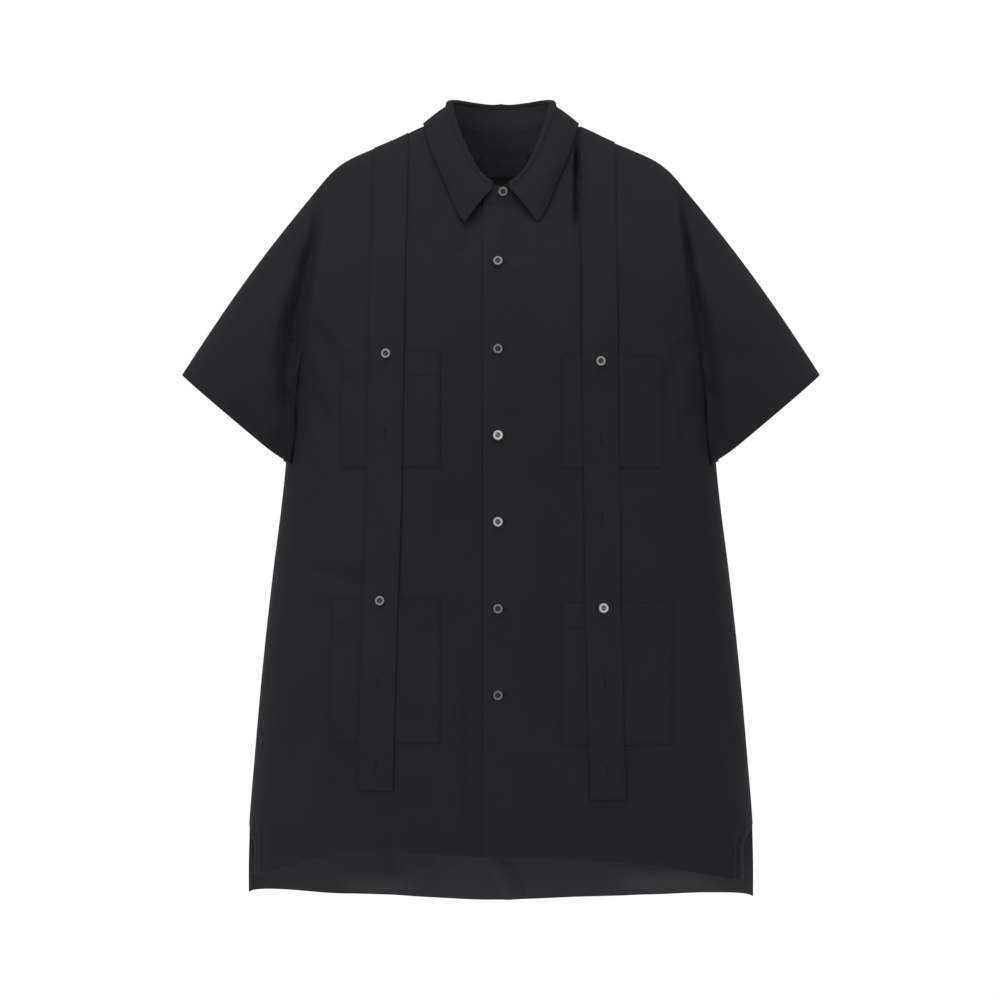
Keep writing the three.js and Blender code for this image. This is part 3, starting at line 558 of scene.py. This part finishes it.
x = np.linspace(-HEM_STITCH_END[BACK], HEM_STITCH_END[BACK], HEM_POINTS[BACK])
sewn = [hem_stitches(BACK, x, BACK_HEM, no_lift)]
sewn += [vent_stitches(BACK, side, BACK_HEM) for side in (1, -1)]
sew("back_hem_stitches", sewn)

# Sleeves. Each is one piece of the cotton, closed under the arm, short and very wide, with
# a turned hem. It's set into the armhole and stands out from the side.
SLEEVE_TIP, SLEEVE_CORNER = (357, -277), (242, -374)  # x, z of the hem's two ends
SLEEVE_SQUARENESS = 4  # of its lower half's section at the hem
SLEEVE_HEM_DEPTH = 62  # from the middle plane
SLEEVE_HEM_STITCH = 22  # in from the edge
SLEEVE_TURNS, SLEEVE_STATIONS = 61, 71  # points up the armhole, and rings of the sleeve
STATION_POWER = 1.15  # above 1, the rings are closer near the hem
SLEEVE_CLEARANCE = 9  # from the side, under the arm
CLEARANCE_FROM, CLEARANCE_SPREAD = 0.035, 0.2  # station, and share of the girth
# Towards the hem the lower half tucks in against the side: share of the girth, spread, depth,
# drop, and the power of the station.
SLEEVE_TUCK = (0.2, 0.075, 14, 8, 0.8)
SLEEVE_CROWN, SLEEVE_CROWN_FROM = 5, 0.33  # swell of its middle, and share where it is full
CREASES_FROM, HOLLOW_FROM = 0.04, 4  # station, and distance from the seam in mm
SLEEVE_CREASES = [  # station along, its spread, share of the girth, slant, its spread, depth
    (0.42, 0.2, 0.3, 0.35, 0.07, -5), (0.55, 0.22, -0.36, 0.35, 0.08, -5),
    (0.16, 0.16, 0.42, 0.2, 0.045, -2.2), (0.3, 0.2, 0.14, -0.2, 0.03, -2.0),
    (0.7, 0.2, 0.6, 0.3, 0.06, -2.2), (0.25, 0.2, 0.72, 0.1, 0.05, -1.8),
    (0.2, 0.2, -0.45, 0.25, 0.05, -2.4), (0.62, 0.25, -0.62, 0.2, 0.05, -2.4),
    (0.3, 0.2, -0.16, -0.25, 0.03, -2.2), (0.8, 0.15, 0.36, 0.3, 0.05, 1.6),
]
# The hollow beside the armhole's seam, for each side: z, x of its middle, spread, depth.
SLEEVE_HOLLOW = {
    -1: [(-330, 240, 6, 0), (-306, 238, 7, 6), (-281, 236, 9, 15), (-251, 233, 11, 23),
         (-218, 228, 13, 25), (-184, 219, 13, 23), (-151, 212, 10, 18), (-118, 206, 7, 12),
         (-70, 202, 6, 0)],
    1: [(-330, 242, 6, 0), (-306, 238, 6, 4), (-281, 232, 8, 11), (-251, 227, 9, 15),
        (-218, 221, 9, 16), (-184, 213.5, 8, 17), (-151, 207, 8, 17), (-118, 202, 7, 15),
        (-90, 200, 6, 9), (-66, 199, 6, 0)],
}


def sleeve(side, node):
    rise = (1 - np.cos(np.pi * np.linspace(0, 1, SLEEVE_TURNS))) / 2
    z = mix(ARMPIT, shoulder_height(SHOULDER_END), rise)
    x = along(ARMHOLE, 1, z) * side
    halves = []
    for face in (FRONT, BACK):
        seam = off(face, x, z, 0)
        seam[0] = (side * ARMHOLE[0][1], MIDDLE, ARMPIT)
        seam[-1] = (side * SHOULDER_END, MIDDLE, z[-1])
        steps = np.linalg.norm(np.diff(seam, axis=0), axis=1)
        share = np.concatenate([[0], np.cumsum(steps)]) / steps.sum()
        halves.append((seam, share if face == FRONT else -share))
    start = np.concatenate([halves[0][0], halves[1][0][-2::-1]])
    share = np.concatenate([halves[0][1], halves[1][1][-2::-1]])
    turn = np.pi * share
    power = np.where(np.abs(share) < 0.5, 2 / SLEEVE_SQUARENESS, 1)
    to_tip = (1 - np.sign(np.cos(turn)) * np.abs(np.cos(turn)) ** power) / 2
    hem = np.stack([
        side * mix(SLEEVE_CORNER[0], SLEEVE_TIP[0], to_tip),
        MIDDLE - SLEEVE_HEM_DEPTH * np.sign(turn) * np.abs(np.sin(turn)) ** power,
        mix(SLEEVE_CORNER[1], SLEEVE_TIP[1], to_tip),
    ], -1)
    reach = np.linalg.norm(hem - start, axis=1)
    outwards = np.stack([side * (to_tip - 0.5), -np.sin(turn) / 2, to_tip - 0.5], -1)
    outwards /= np.linalg.norm(outwards, axis=1, keepdims=True)
    crown = SLEEVE_CROWN * np.minimum(1, np.abs(share) / SLEEVE_CROWN_FROM)
    under_arm = np.exp(-((share / CLEARANCE_SPREAD) ** 2))
    points = []
    for station in 1 - np.linspace(0, 1, SLEEVE_STATIONS) ** STATION_POWER:
        swell = crown * math.sin(math.pi * station)
        fade = 1 - math.exp(-((station / CREASES_FROM) ** 2))
        for at, length, around, slant, wide, deep in SLEEVE_CREASES:
            drop = station - at
            off_line = (share - around - slant * drop) / wide
            swell = swell + fade * deep * np.exp(-(off_line**2) - (drop / length) ** 2)
        row = mix(start, hem, station) + outwards * swell[:, None]
        middle, wide, deep = (along(SLEEVE_HOLLOW[side], k, row[:, 2]) for k in (1, 2, 3))
        pressed = deep * np.exp(-(((np.abs(row[:, 0]) - middle) / wide) ** 2))
        row[:, 1] += np.sign(share) * pressed * (1 - np.exp(-station * reach / HOLLOW_FROM))
        gap = (1 - station) ** 2 * (1 - math.exp(-station / CLEARANCE_FROM)) * under_arm
        around, wide, deep, drop, power = SLEEVE_TUCK
        tuck = station**power * np.exp(-(((np.abs(share) - around) / wide) ** 2))
        row[:, 0] += side * (SLEEVE_CLEARANCE * gap - deep * tuck)
        row[:, 2] -= drop * tuck
        points.append(row)
    points = np.array(points)
    if side < 0:
        points = points[:, ::-1]
    cloth = lay_cloth(node + "_cloth", points, WALL, black_cotton, reverse_with_painted_light, ring=True)
    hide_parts(node)
    return points


def grid_square(points):
    """The outward direction at each point of a grid of cloth."""
    out = np.cross(np.gradient(points, axis=1), np.gradient(points, axis=0))
    return out / np.linalg.norm(out, axis=-1, keepdims=True)


sewn = []
for side, node in ((-1, "sleeve_right"), (1, "sleeve_left")):
    points = sleeve(side, node)
    out = grid_square(points)
    top_line = points[:, SLEEVE_TURNS - 1]
    inset = np.linalg.norm(top_line - top_line[0], axis=-1)
    row = int(np.argmin(np.abs(inset - SLEEVE_HEM_STITCH)))
    sewn.append(stitches_along((points + out * WALL / 2)[row], out[row]))
sew("sleeve_hem_stitches", sewn)

# Collar. A stand of two layers stiffened between them is sewn to the neck, its ends lapped
# like the fronts. The leaf is sewn to its upper edge, turns over it and falls to two points.
COLLAR = [  # angle, rise of the stand, its lean inwards, belly of the leaf
    (0, 28, 3, 2), (22, 28.6, 4.2, 1.8), (45, 25.5, 6, 1.5), (90, 18.6, 9.5, 0.5),
    (110, 21.5, 10, 2), (135, 31, 12, 4.5), (160, 29, 9, 3.5), (180, 24, 4, 1.5),
]
STAND_ROWS, STAND_BACK_COLUMNS, LEAF_ROWS = 14, 61, 40
LEAF_WALL = 1.2
LEAF_END = 172  # angle
# Behind, the leaf's edge is an oval on the back: half width, reach, rest above the cloth.
LEAF_BACK_HALF, LEAF_BACK_REACH, LEAF_REST_BACK = 85, 76, 3.6
LEAF_EDGE = [  # angle, x, z, rest above the front
    (90, 86, 2, 3), (103, 82, -12, 3.6), (117, 74.5, -36, 4), (135, 61, -68, 3.6),
    (152, 51.5, -93, 3.6), (164, 45, -106, 3.4), (172, 39.8, -113, 3.4),
]
LEAF_TURN = [(-1.35, -1.2), (-1.2, 0.9), (0.3, 2.2), (2.4, 2.2), (4.3, 0.4), (5.4, -4)]  # out, up


def stand_point(angle, share):
    angle = np.asarray(angle, float)
    lift = neck_lift(angle)
    foot, base = neck_seam(angle, lift), neck_seam(angle)
    turn = np.radians(angle)
    level = np.minimum(np.abs(angle), 360 - np.abs(angle))
    out = lift - along(COLLAR, 2, level)
    head = base + np.stack([out * np.sin(turn), out * np.cos(turn), along(COLLAR, 1, level)], -1)
    return mix(foot, head, share)


def through(rows, count):
    """Draws rows of points out to more rows, on smooth curves through the ones given."""
    rows = np.array(rows)
    steps = np.linalg.norm(np.diff(rows, axis=0), axis=-1).mean(1)
    keys = np.concatenate([[0], np.cumsum(steps)])
    at = np.linspace(0, keys[-1], count)
    drawn = np.empty((count,) + rows.shape[1:])
    for c in range(rows.shape[1]):
        for axis in range(3):
            drawn[:, c, axis] = along(list(zip(keys, rows[:, c, axis])), 1, at)
    return drawn


stand_angles = np.concatenate([
    np.linspace(UNDER_END, -90, UNDER_COLUMNS)[:-1],
    np.linspace(-90, 90, STAND_BACK_COLUMNS),
    np.linspace(90, OVER_END, OVER_COLUMNS)[1:],
])[::-1]
stand_points = np.array([stand_point(stand_angles, s) for s in np.linspace(0, 1, STAND_ROWS)])
# The stand's inside is painted a little paler than its face: painted light, standing in for the
# light that reaches inside the neck.
stand_inside_painted_light = woven_cotton(
    "black cotton poplin, stand inside with painted light", "#2c2f30", "#252829", COTTON_SHEEN
)
stand = lay_cloth("collar_stand_cloth", stand_points, WALL, black_cotton, stand_inside_painted_light)
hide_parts("collar_stand")

leaf_angles = stand_angles[np.abs(stand_angles) < LEAF_END]
leaf_angles = np.concatenate([[LEAF_END], leaf_angles, [-LEAF_END]])
leaf_head = stand_point(leaf_angles, 1)
leaf_turn = np.radians(leaf_angles)
leaf_level = np.abs(leaf_angles)


def away(out, up):
    """Steps out from the neck and up, one for each column of the leaf."""
    return np.stack([out * np.sin(leaf_turn), out * np.cos(leaf_turn), up + 0 * leaf_turn], -1)


edge_side = np.where(leaf_angles < 0, -1, 1)
edge_x = edge_side * along(LEAF_EDGE, 1, leaf_level)
edge_z = np.minimum(along(LEAF_EDGE, 2, leaf_level), shoulder_height(edge_x))
back_x = LEAF_BACK_HALF * np.sin(leaf_turn)
back_z = height_over(BACK, back_x, MIDDLE + LEAF_BACK_REACH * np.cos(leaf_turn))
front_rest = along(LEAF_EDGE, 3, leaf_level)[:, None]
front_edge = on_form(FRONT, edge_x, edge_z) + outward(FRONT, edge_x, edge_z) * front_rest
back_edge = on_form(BACK, back_x, back_z) + outward(BACK, back_x, back_z) * LEAF_REST_BACK
leaf_edge = np.where(leaf_level[:, None] >= 90, front_edge, back_edge)
leaf_rows = [leaf_head + away(out, up) for out, up in LEAF_TURN]
turned = leaf_rows[-1]
for share in (0.25, 0.5, 0.75, 1):
    belly = along(COLLAR, 3, leaf_level) * math.sin(math.pi * share)
    leaf_rows.append(mix(turned, leaf_edge, share) + away(belly, belly / 2))
leaf_points = through(leaf_rows[::-1], LEAF_ROWS)
leaf = lay_cloth("collar_leaf_cloth", leaf_points, LEAF_WALL, black_cotton)
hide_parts("collar_leaf")

LEAF_STITCH_TOP = 34  # row of the leaf where the stitches of its ends stop
out = grid_square(leaf_points)
face = leaf_points + out * LEAF_WALL / 2
sewn = [stitches_along(face[place], out[place]) for place in (
    (1, slice(1, -1)), (slice(1, LEAF_STITCH_TOP), 1), (slice(1, LEAF_STITCH_TOP), -2))]
out = grid_square(stand_points)
sewn += [stitches_along((stand_points + out * side * WALL / 2)[1], side * out[1])
         for side in (1, -1)]
sew("collar_stitches", sewn)

# Straps. Two long double bands of the cotton are caught in the shoulder seams and hang down
# the fronts over the pockets. Each is buttoned to the front in two places.
STRAP_WIDTH = 38
STRAPS = {  # z, x, stand-off at the inner edge, at the outer edge
    "strap_right": [
        (-733, -136.3, 3, 3), (-558, -132, 2.9, 2.9), (-438, -128, 2.8, 2.8),
        (-286, -125.2, 2.7, 2.7), (-120, -123.4, 2.2, 2), (-50, -122.5, 1.6, 1.6),
        (-30, -122.5, 0.9, 0.9),
    ],
    "strap_left": [
        (-743, 116, 3, 3), (-535, 111, 2.8, 2.8), (-265, 107.5, 2.7, 2.7),
        (-125, 107, 3, 2.2), (-60, 107.5, 8, 2.2), (-28, 107.5, 3, 1.4), (0, 107.5, 0.9, 0.9),
    ],
}
STRAP_COLUMNS, STRAP_ROWS = 17, 111  # as many rows below the armpit as above it


def strap_place(route, across, z):
    x = along(route, 1, z) + across * STRAP_WIDTH / 2
    inward = np.where(x > 0, -across, across)
    return x, mix(along(route, 3, z), along(route, 2, z), (inward + 1) / 2)


def strap(node):
    route = STRAPS[node]
    across = np.linspace(-1, 1, STRAP_COLUMNS)
    top = shoulder_height(strap_place(route, across, 0)[0])
    levels = [0 * across + z for z in np.linspace(route[0][0], ARMPIT, STRAP_ROWS)[:-1]]
    climb = (1 - np.cos(np.pi * np.linspace(0, 1, STRAP_ROWS))) / 2
    levels += [mix(ARMPIT, top, share) for share in climb]
    rows = []
    for z in levels:
        x, lift = strap_place(route, across, z)
        rows.append(off(FRONT, x, np.minimum(z, shoulder_height(x)), lift))
    band = lay_cloth(node + "_cloth", np.array(rows), WALL, black_cotton)
    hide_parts(node)


def strap_line(route, across, z):
    x, lift = strap_place(route, across, z)
    return on_cloth(FRONT, x, np.minimum(z, shoulder_height(x)), lift)


EDGE_STITCH = 1.8  # in from an edge
STRAP_STITCH_TOP = -30  # z
LONG_POINTS, SHORT_POINTS = 300, 30
near = 1 - 2 * EDGE_STITCH / STRAP_WIDTH
sewn = []
for node, route in STRAPS.items():
    strap(node)
    z = np.linspace(route[0][0] + EDGE_STITCH, STRAP_STITCH_TOP, LONG_POINTS)
    across = np.linspace(-near, near, SHORT_POINTS)
    sewn += [strap_line(route, -near, z), strap_line(route, near, z)]
    sewn.append(strap_line(route, across, 0 * across + z[0]))
sew("strap_stitches", sewn)

# Pockets. Four square patch pockets of the cotton lie flat on the fronts under the straps,
# sewn on round three sides.
POCKETS = {  # left, right, top, bottom
    "pocket_chest_right": (-176, -66.5, -255, -381),
    "pocket_chest_left": (66.5, 176, -260, -382),
    "pocket_lower_right": (-187, -65.5, -526, -681),
    "pocket_lower_left": (65.5, 188, -530, -684),
}
POCKET_HEM = 26  # of its mouth
POCKET_WALL, POCKET_LIFT = 0.7, 1.15
POCKET_COLUMNS, POCKET_ROWS, POCKET_POINTS = 45, 53, 60
sewn = []
for node, (left, right, top, bottom) in POCKETS.items():
    near, far, low = left + EDGE_STITCH, right - EDGE_STITCH, bottom + EDGE_STITCH
    x, z = np.linspace(near, far, POCKET_POINTS), np.linspace(low, top, POCKET_POINTS)
    sewn += [on_cloth(FRONT, *line, POCKET_LIFT)
             for line in ((near, z), (far, z), (x, low), (x, top - POCKET_HEM))]
    x, z = np.meshgrid(
        np.linspace(left, right, POCKET_COLUMNS), np.linspace(bottom, top, POCKET_ROWS)
    )
    points = off(FRONT, x, z, POCKET_LIFT)
    pocket = lay_cloth(node + "_cloth", points, POCKET_WALL, black_cotton)
    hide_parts(node)
sew("pocket_stitches", sewn)

# Buttonholes. Each is a slit between two close rows of overcast stitches with a bar at both
# ends. They lie across the front edge and along the straps, which have spare ones too.
HOLE_REACH, HOLE_GAP, BAR_REACH = 6.4, 0.55, 1.1  # each way from the slit's middle
OVERCAST = ((1.0, 0.5, 0.4), 0.6)  # size and pitch of the stitches
BAR_TACK = ((1.2, 0.5, 0.45), 0.55)
CENTRE_BUTTONS = (-157, -252.5, -346.5, -441, -535.5, -629.5)  # z
CENTRE_HOLE = -0.5  # x
STRAP_HOLES = {  # z
    "strap_right": (-259, -346, -529, -617, -706),
    "strap_left": (-267, -350, -438, -537, -615, -712),
}


def buttonhole(x, z, lift, along_x):
    lines = []
    for row in (-HOLE_GAP, HOLE_GAP):
        t = np.linspace(-HOLE_REACH, HOLE_REACH, 20)
        lines.append((t, row + 0 * t, OVERCAST))
    for end in (-HOLE_REACH, HOLE_REACH):
        t = np.linspace(-BAR_REACH, BAR_REACH, 8)
        lines.append((end + 0 * t, t, BAR_TACK))
    groups = []
    for lengthways, sideways, (size, pitch) in lines:
        dx, dz = (lengthways, sideways) if along_x else (sideways, lengthways)
        points = off(FRONT, x + dx, z + dz, lift + WALL / 2)
        square = outward(FRONT, x + dx, z + dz)
        groups.append(stitches_along(points, square, size, pitch, turned=True))
    return groups


sewn = []
for z in CENTRE_BUTTONS:
    sewn += buttonhole(CENTRE_HOLE, z, overlap_lift(CENTRE_HOLE), True)
for node, levels in STRAP_HOLES.items():
    for z in levels:
        x, lift = strap_place(STRAPS[node], 0, z)
        sewn += buttonhole(x, z, lift, False)
sew("buttonhole_stitches", sewn)

# Buttons. Four-hole buttons of glossy, clouded grey polyester that looks like shell, turned
# with a round raised rim and a dished middle, and sewn on with black thread. Their colour
# holds a painted highlight along the rim and painted shade on its outer bevel.
BUTTON_SECTION = [  # radius, height
    (0.3, 0), (4.4, 0), (5.2, 0.4), (5.6, 1.0), (5.5, 1.6), (5.1, 2.05), (4.6, 2.35),
    (4.1, 2.4), (3.6, 2.3), (3.1, 1.95), (2.7, 1.55), (2.2, 1.42), (0.3, 1.4),
]
BUTTON_RADIUS = max(radius for radius, _ in BUTTON_SECTION)
HOLE_RADIUS, HOLE_SPACING = 0.62, 1.25
DRILL_DEPTH, DRILL_MIDDLE = 6, 1.5
# Paleness by share of the radius: a painted highlight on the top of the raised rim, painted shade
# on the bevel outside it, and a darker middle.
RIM_PAINTED_LIGHT = [  # share of the radius, paleness
    (0.5, 0.04), (0.6, 0.7), (0.69, 1.0), (0.8, 0.8), (0.94, 0.1),
]
# The dish's paleness is painted reflection, a share of each button's painted highlight.
DISH_PALENESS = 0.4
SHELL_CLOUDS = 260  # to a metre, so each is about 4 mm across
grey_shell, tree, shader = new_material("grey shell-effect polyester")
place = add_node(tree, "ShaderNodeTexCoord").outputs["Object"]
cloud = add_node(tree, "ShaderNodeTexNoise", {}, {"Vector": place},
                 {"Scale": SHELL_CLOUDS, "Detail": 3, "Distortion": 1.2})
tint = add_node(tree, "ShaderNodeMix", {"data_type": "RGBA"}, {0: cloud.outputs["Fac"]},
                {6: srgb("#999a9a"), 7: srgb("#c1c2c2")})
from_middle = add_node(tree, "ShaderNodeAttribute", {"attribute_name": "from_middle"})
ring = add_node(tree, "ShaderNodeValToRGB", {}, {"Fac": from_middle.outputs["Fac"]})
for at, grey in RIM_PAINTED_LIGHT:
    stop = ring.color_ramp.elements.new(at)
    stop.color = (grey, grey, grey, 1)
ring.color_ramp.elements.remove(ring.color_ramp.elements[0])
ring.color_ramp.elements.remove(ring.color_ramp.elements[-1])
# The strength of each button's painted highlight, which brightens both its rim and its dish.
painted_glint = add_node(tree, "ShaderNodeAttribute", {"attribute_name": "painted_glint"}).outputs["Fac"]
dish = add_node(tree, "ShaderNodeMath", {"operation": "MULTIPLY"}, {0: painted_glint},
                {1: DISH_PALENESS})
shape = add_node(tree, "ShaderNodeMath", {"operation": "MAXIMUM"},
                 {0: ring.outputs["Color"], 1: dish.outputs[0]})
pale = add_node(tree, "ShaderNodeMath", {"operation": "MULTIPLY"},
                {0: shape.outputs[0], 1: painted_glint})
shown = add_node(tree, "ShaderNodeMix", {"data_type": "RGBA"},
                 {0: pale.outputs[0], 7: tint.outputs[2]}, {6: srgb("#1d1e20")})
feed(tree, shader, {"Base Color": shown.outputs[2]},
     {"Roughness": 0.35, "Specular IOR Level": 0.2, "IOR": 1.52})

bpy.ops.object.select_all(action="DESELECT")
bpy.ops.mesh.primitive_circle_add(vertices=48, radius=BUTTON_SECTION[0][0] * MM, fill_type="NGON")
button_model = bpy.context.object
bpy.ops.object.mode_set(mode="EDIT")
bpy.ops.mesh.select_all(action="SELECT")
bpy.ops.mesh.flip_normals()
for (r0, z0), (r1, z1) in zip(BUTTON_SECTION, BUTTON_SECTION[1:]):
    bpy.ops.mesh.extrude_region_move(TRANSFORM_OT_translate={"value": (0, 0, (z1 - z0) * MM)})
    bpy.ops.transform.resize(value=(r1 / r0, r1 / r0, 1))
bpy.ops.mesh.select_all(action="SELECT")
bpy.ops.mesh.normals_make_consistent(inside=False)
bpy.ops.object.mode_set(mode="OBJECT")
for ox, oy in ((1, 1), (-1, 1), (-1, -1), (1, -1)):
    bpy.ops.object.select_all(action="DESELECT")
    bpy.ops.mesh.primitive_cylinder_add(
        vertices=14, radius=HOLE_RADIUS * MM, depth=DRILL_DEPTH * MM,
        location=(ox * HOLE_SPACING * MM, oy * HOLE_SPACING * MM, DRILL_MIDDLE * MM),
    )
    drill = bpy.context.object
    bored = button_model.modifiers.new("hole", "BOOLEAN")
    bored.object = drill
    bored.operation = "DIFFERENCE"
    bpy.ops.object.select_all(action="DESELECT")
    bpy.context.view_layer.objects.active = button_model
    bpy.ops.object.modifier_apply(modifier=bored.name)
    bpy.data.objects.remove(drill)
button_model.data.materials.clear()
button_model.data.materials.append(grey_shell)


def mark(mesh, name, values):
    mesh.attributes.new(name, "FLOAT", "POINT").data.foreach_set("value", values)


mark(button_model.data, "from_middle",
     [v.co.xy.length / MM / BUTTON_RADIUS for v in button_model.data.vertices])
BUTTON_LIFT = 0.9  # off the cloth it is sewn to
THREAD_SIZE, THREAD_REACH, THREAD_LEVEL = (3.2, 0.5, 0.6), 1.7, 1.55
THREAD_SPACING = 0.25  # each strand from the middle of its holes


def sew_button(node, foot, square, turn, painted_glint):
    """Copies the button to its place, square to the cloth, turned as it happens to be sewn."""
    square = Vector(square).normalized()
    up = Vector((0, 0, 1))
    aside = up.cross(square).normalized()
    above = square.cross(aside)
    facing = Matrix((aside, above, square)).transposed().to_4x4()
    spot = Matrix.Translation(Vector(foot) * MM + square * BUTTON_LIFT * MM)
    sewn_on = spot @ facing @ Matrix.Rotation(turn, 4, "Z")
    button = button_model.copy()
    button.data = button_model.data.copy()
    button.name = button.data.name = node + "_shell"
    bpy.context.collection.objects.link(button)
    button.data.transform(sewn_on)
    button.data.shade_smooth()
    mark(button.data, "painted_glint", [painted_glint] * len(button.data.vertices))
    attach(button, "root")
    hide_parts(node)
    for row in (-HOLE_SPACING, HOLE_SPACING):
        for strand in (-THREAD_SPACING, THREAD_SPACING):
            ends = [sewn_on @ Vector((t * MM, (row + strand) * MM, THREAD_LEVEL * MM)) / MM
                    for t in (-THREAD_REACH, THREAD_REACH)]
            threads.append(stitches_along(ends, [square] * 2, THREAD_SIZE, 2 * THREAD_REACH))


# Each button has its own strength of painted highlight, for how its glossy shell catches the
# light. The turn of each is in radians.
COLLAR_BUTTON = (178.0, 0.72, 0.4, 0.2)  # angle, share of the stand's rise, turn, lustre
CENTRE_TURN, STRAP_TURN = (0.3, 1.1), (0.7, 0.8)  # of the first, and from one to the next
CENTRE_BUTTON_X = -3.3
CENTRE_PAINTED_GLINT = (0.42, 0.27, 1.0, 0.75, 0.25, 0.2)
STRAP_BUTTONS = (  # strap, z, how far aside of its middle, lustre
    ("strap_right", -257, 0, 0.42), ("strap_right", -527, 0, 0.36),
    ("strap_left", -265.5, 0.6, 0.46), ("strap_left", -535, 0, 0.9),
)
threads = []
angle, share, turn, painted_glint = COLLAR_BUTTON
low, high = stand_point([angle], 0)[0], stand_point([angle], 1)[0]
rise = (high - low) / np.linalg.norm(high - low)
sew_button("button_collar", mix(low, high, share), np.cross((1, 0, 0), rise), turn, painted_glint)
for i, (z, painted_glint) in enumerate(zip(CENTRE_BUTTONS, CENTRE_PAINTED_GLINT)):
    x = CENTRE_BUTTON_X
    foot = off(FRONT, x, z, overlap_lift(x))
    turn = CENTRE_TURN[0] + CENTRE_TURN[1] * i
    sew_button(f"button_front_{i + 1}", foot, outward(FRONT, x, z), turn, painted_glint)
for i, (node, z, aside, painted_glint) in enumerate(STRAP_BUTTONS):
    x, lift = strap_place(STRAPS[node], 0, z)
    x = x + aside
    foot = off(FRONT, x, z, lift)
    turn = STRAP_TURN[0] + STRAP_TURN[1] * i
    sew_button(f"button_strap_{i + 1}", foot, outward(FRONT, x, z), turn, painted_glint)
bpy.data.objects.remove(button_model)
sew("button_threads", threads)

# Neck label. A small folded piece of black satin tape lies inside the back, below the middle
# of the collar. It is bare, and its long floats give it more sheen than the cotton has.
LABEL_MIDDLE, LABEL_HALF = 4, 25.5  # x
LABEL_BOTTOM, LABEL_TOP = -48.5, -22.5  # z
LABEL_LIFT, LABEL_WALL = -2.1, 0.6
LABEL_COLUMNS, LABEL_ROWS = 41, 21
SATIN_SHEEN = 0.1
label_satin = woven_cotton("black satin tape", "#3a3b3f", "#333438", SATIN_SHEEN)
across, z = np.meshgrid(
    np.linspace(1, -1, LABEL_COLUMNS), np.linspace(LABEL_BOTTOM, LABEL_TOP, LABEL_ROWS)
)
points = off(BACK, LABEL_MIDDLE + across * LABEL_HALF, z, LABEL_LIFT)
label = lay_cloth("label_satin_tape", points, LABEL_WALL, label_satin)
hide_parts("label")

# Studio. The shirt hangs in a white surround over a pale floor, lit by two large soft lamps,
# one overhead and one in front to the left.
FLOOR_LEVEL = -1.2
LAMP_AIM = (0, 0, -0.4)
LAMPS = (  # name, place and size in metres, power in watts
    ("overhead", (0, -1.0, 2.6), 2.2, 50), ("front", (-2.2, -3.4, 0.2), 2.0, 45),
)
bpy.context.scene.view_settings.view_transform = "Standard"
world = bpy.data.worlds.new("white studio")
bpy.context.scene.world = world
world.use_nodes = True
world.node_tree.nodes["Background"].inputs["Color"].default_value = (1, 1, 1, 1)
world.node_tree.nodes["Background"].inputs["Strength"].default_value = 1.0
bpy.ops.object.select_all(action="DESELECT")
bpy.ops.mesh.primitive_circle_add(
    vertices=96, radius=1.0, fill_type="NGON", location=(0, 0, FLOOR_LEVEL)
)
floor = bpy.context.object
floor.name = "floor"
bpy.ops.object.transform_apply(location=True)
pale_paint, tree, shader = new_material("pale floor paint")
feed(tree, shader, {}, {"Base Color": srgb("#e9e9e7"), "Roughness": 0.7})
floor.data.materials.append(pale_paint)
for name, place, size, power in LAMPS:
    bpy.ops.object.light_add(type="AREA", location=place)
    lamp = bpy.context.object
    lamp.name = name + "_lamp"
    lamp.data.size = size
    lamp.data.energy = power
    aim = Vector(LAMP_AIM) - Vector(place)
    lamp.rotation_euler = aim.to_track_quat("-Z", "Y").to_euler()
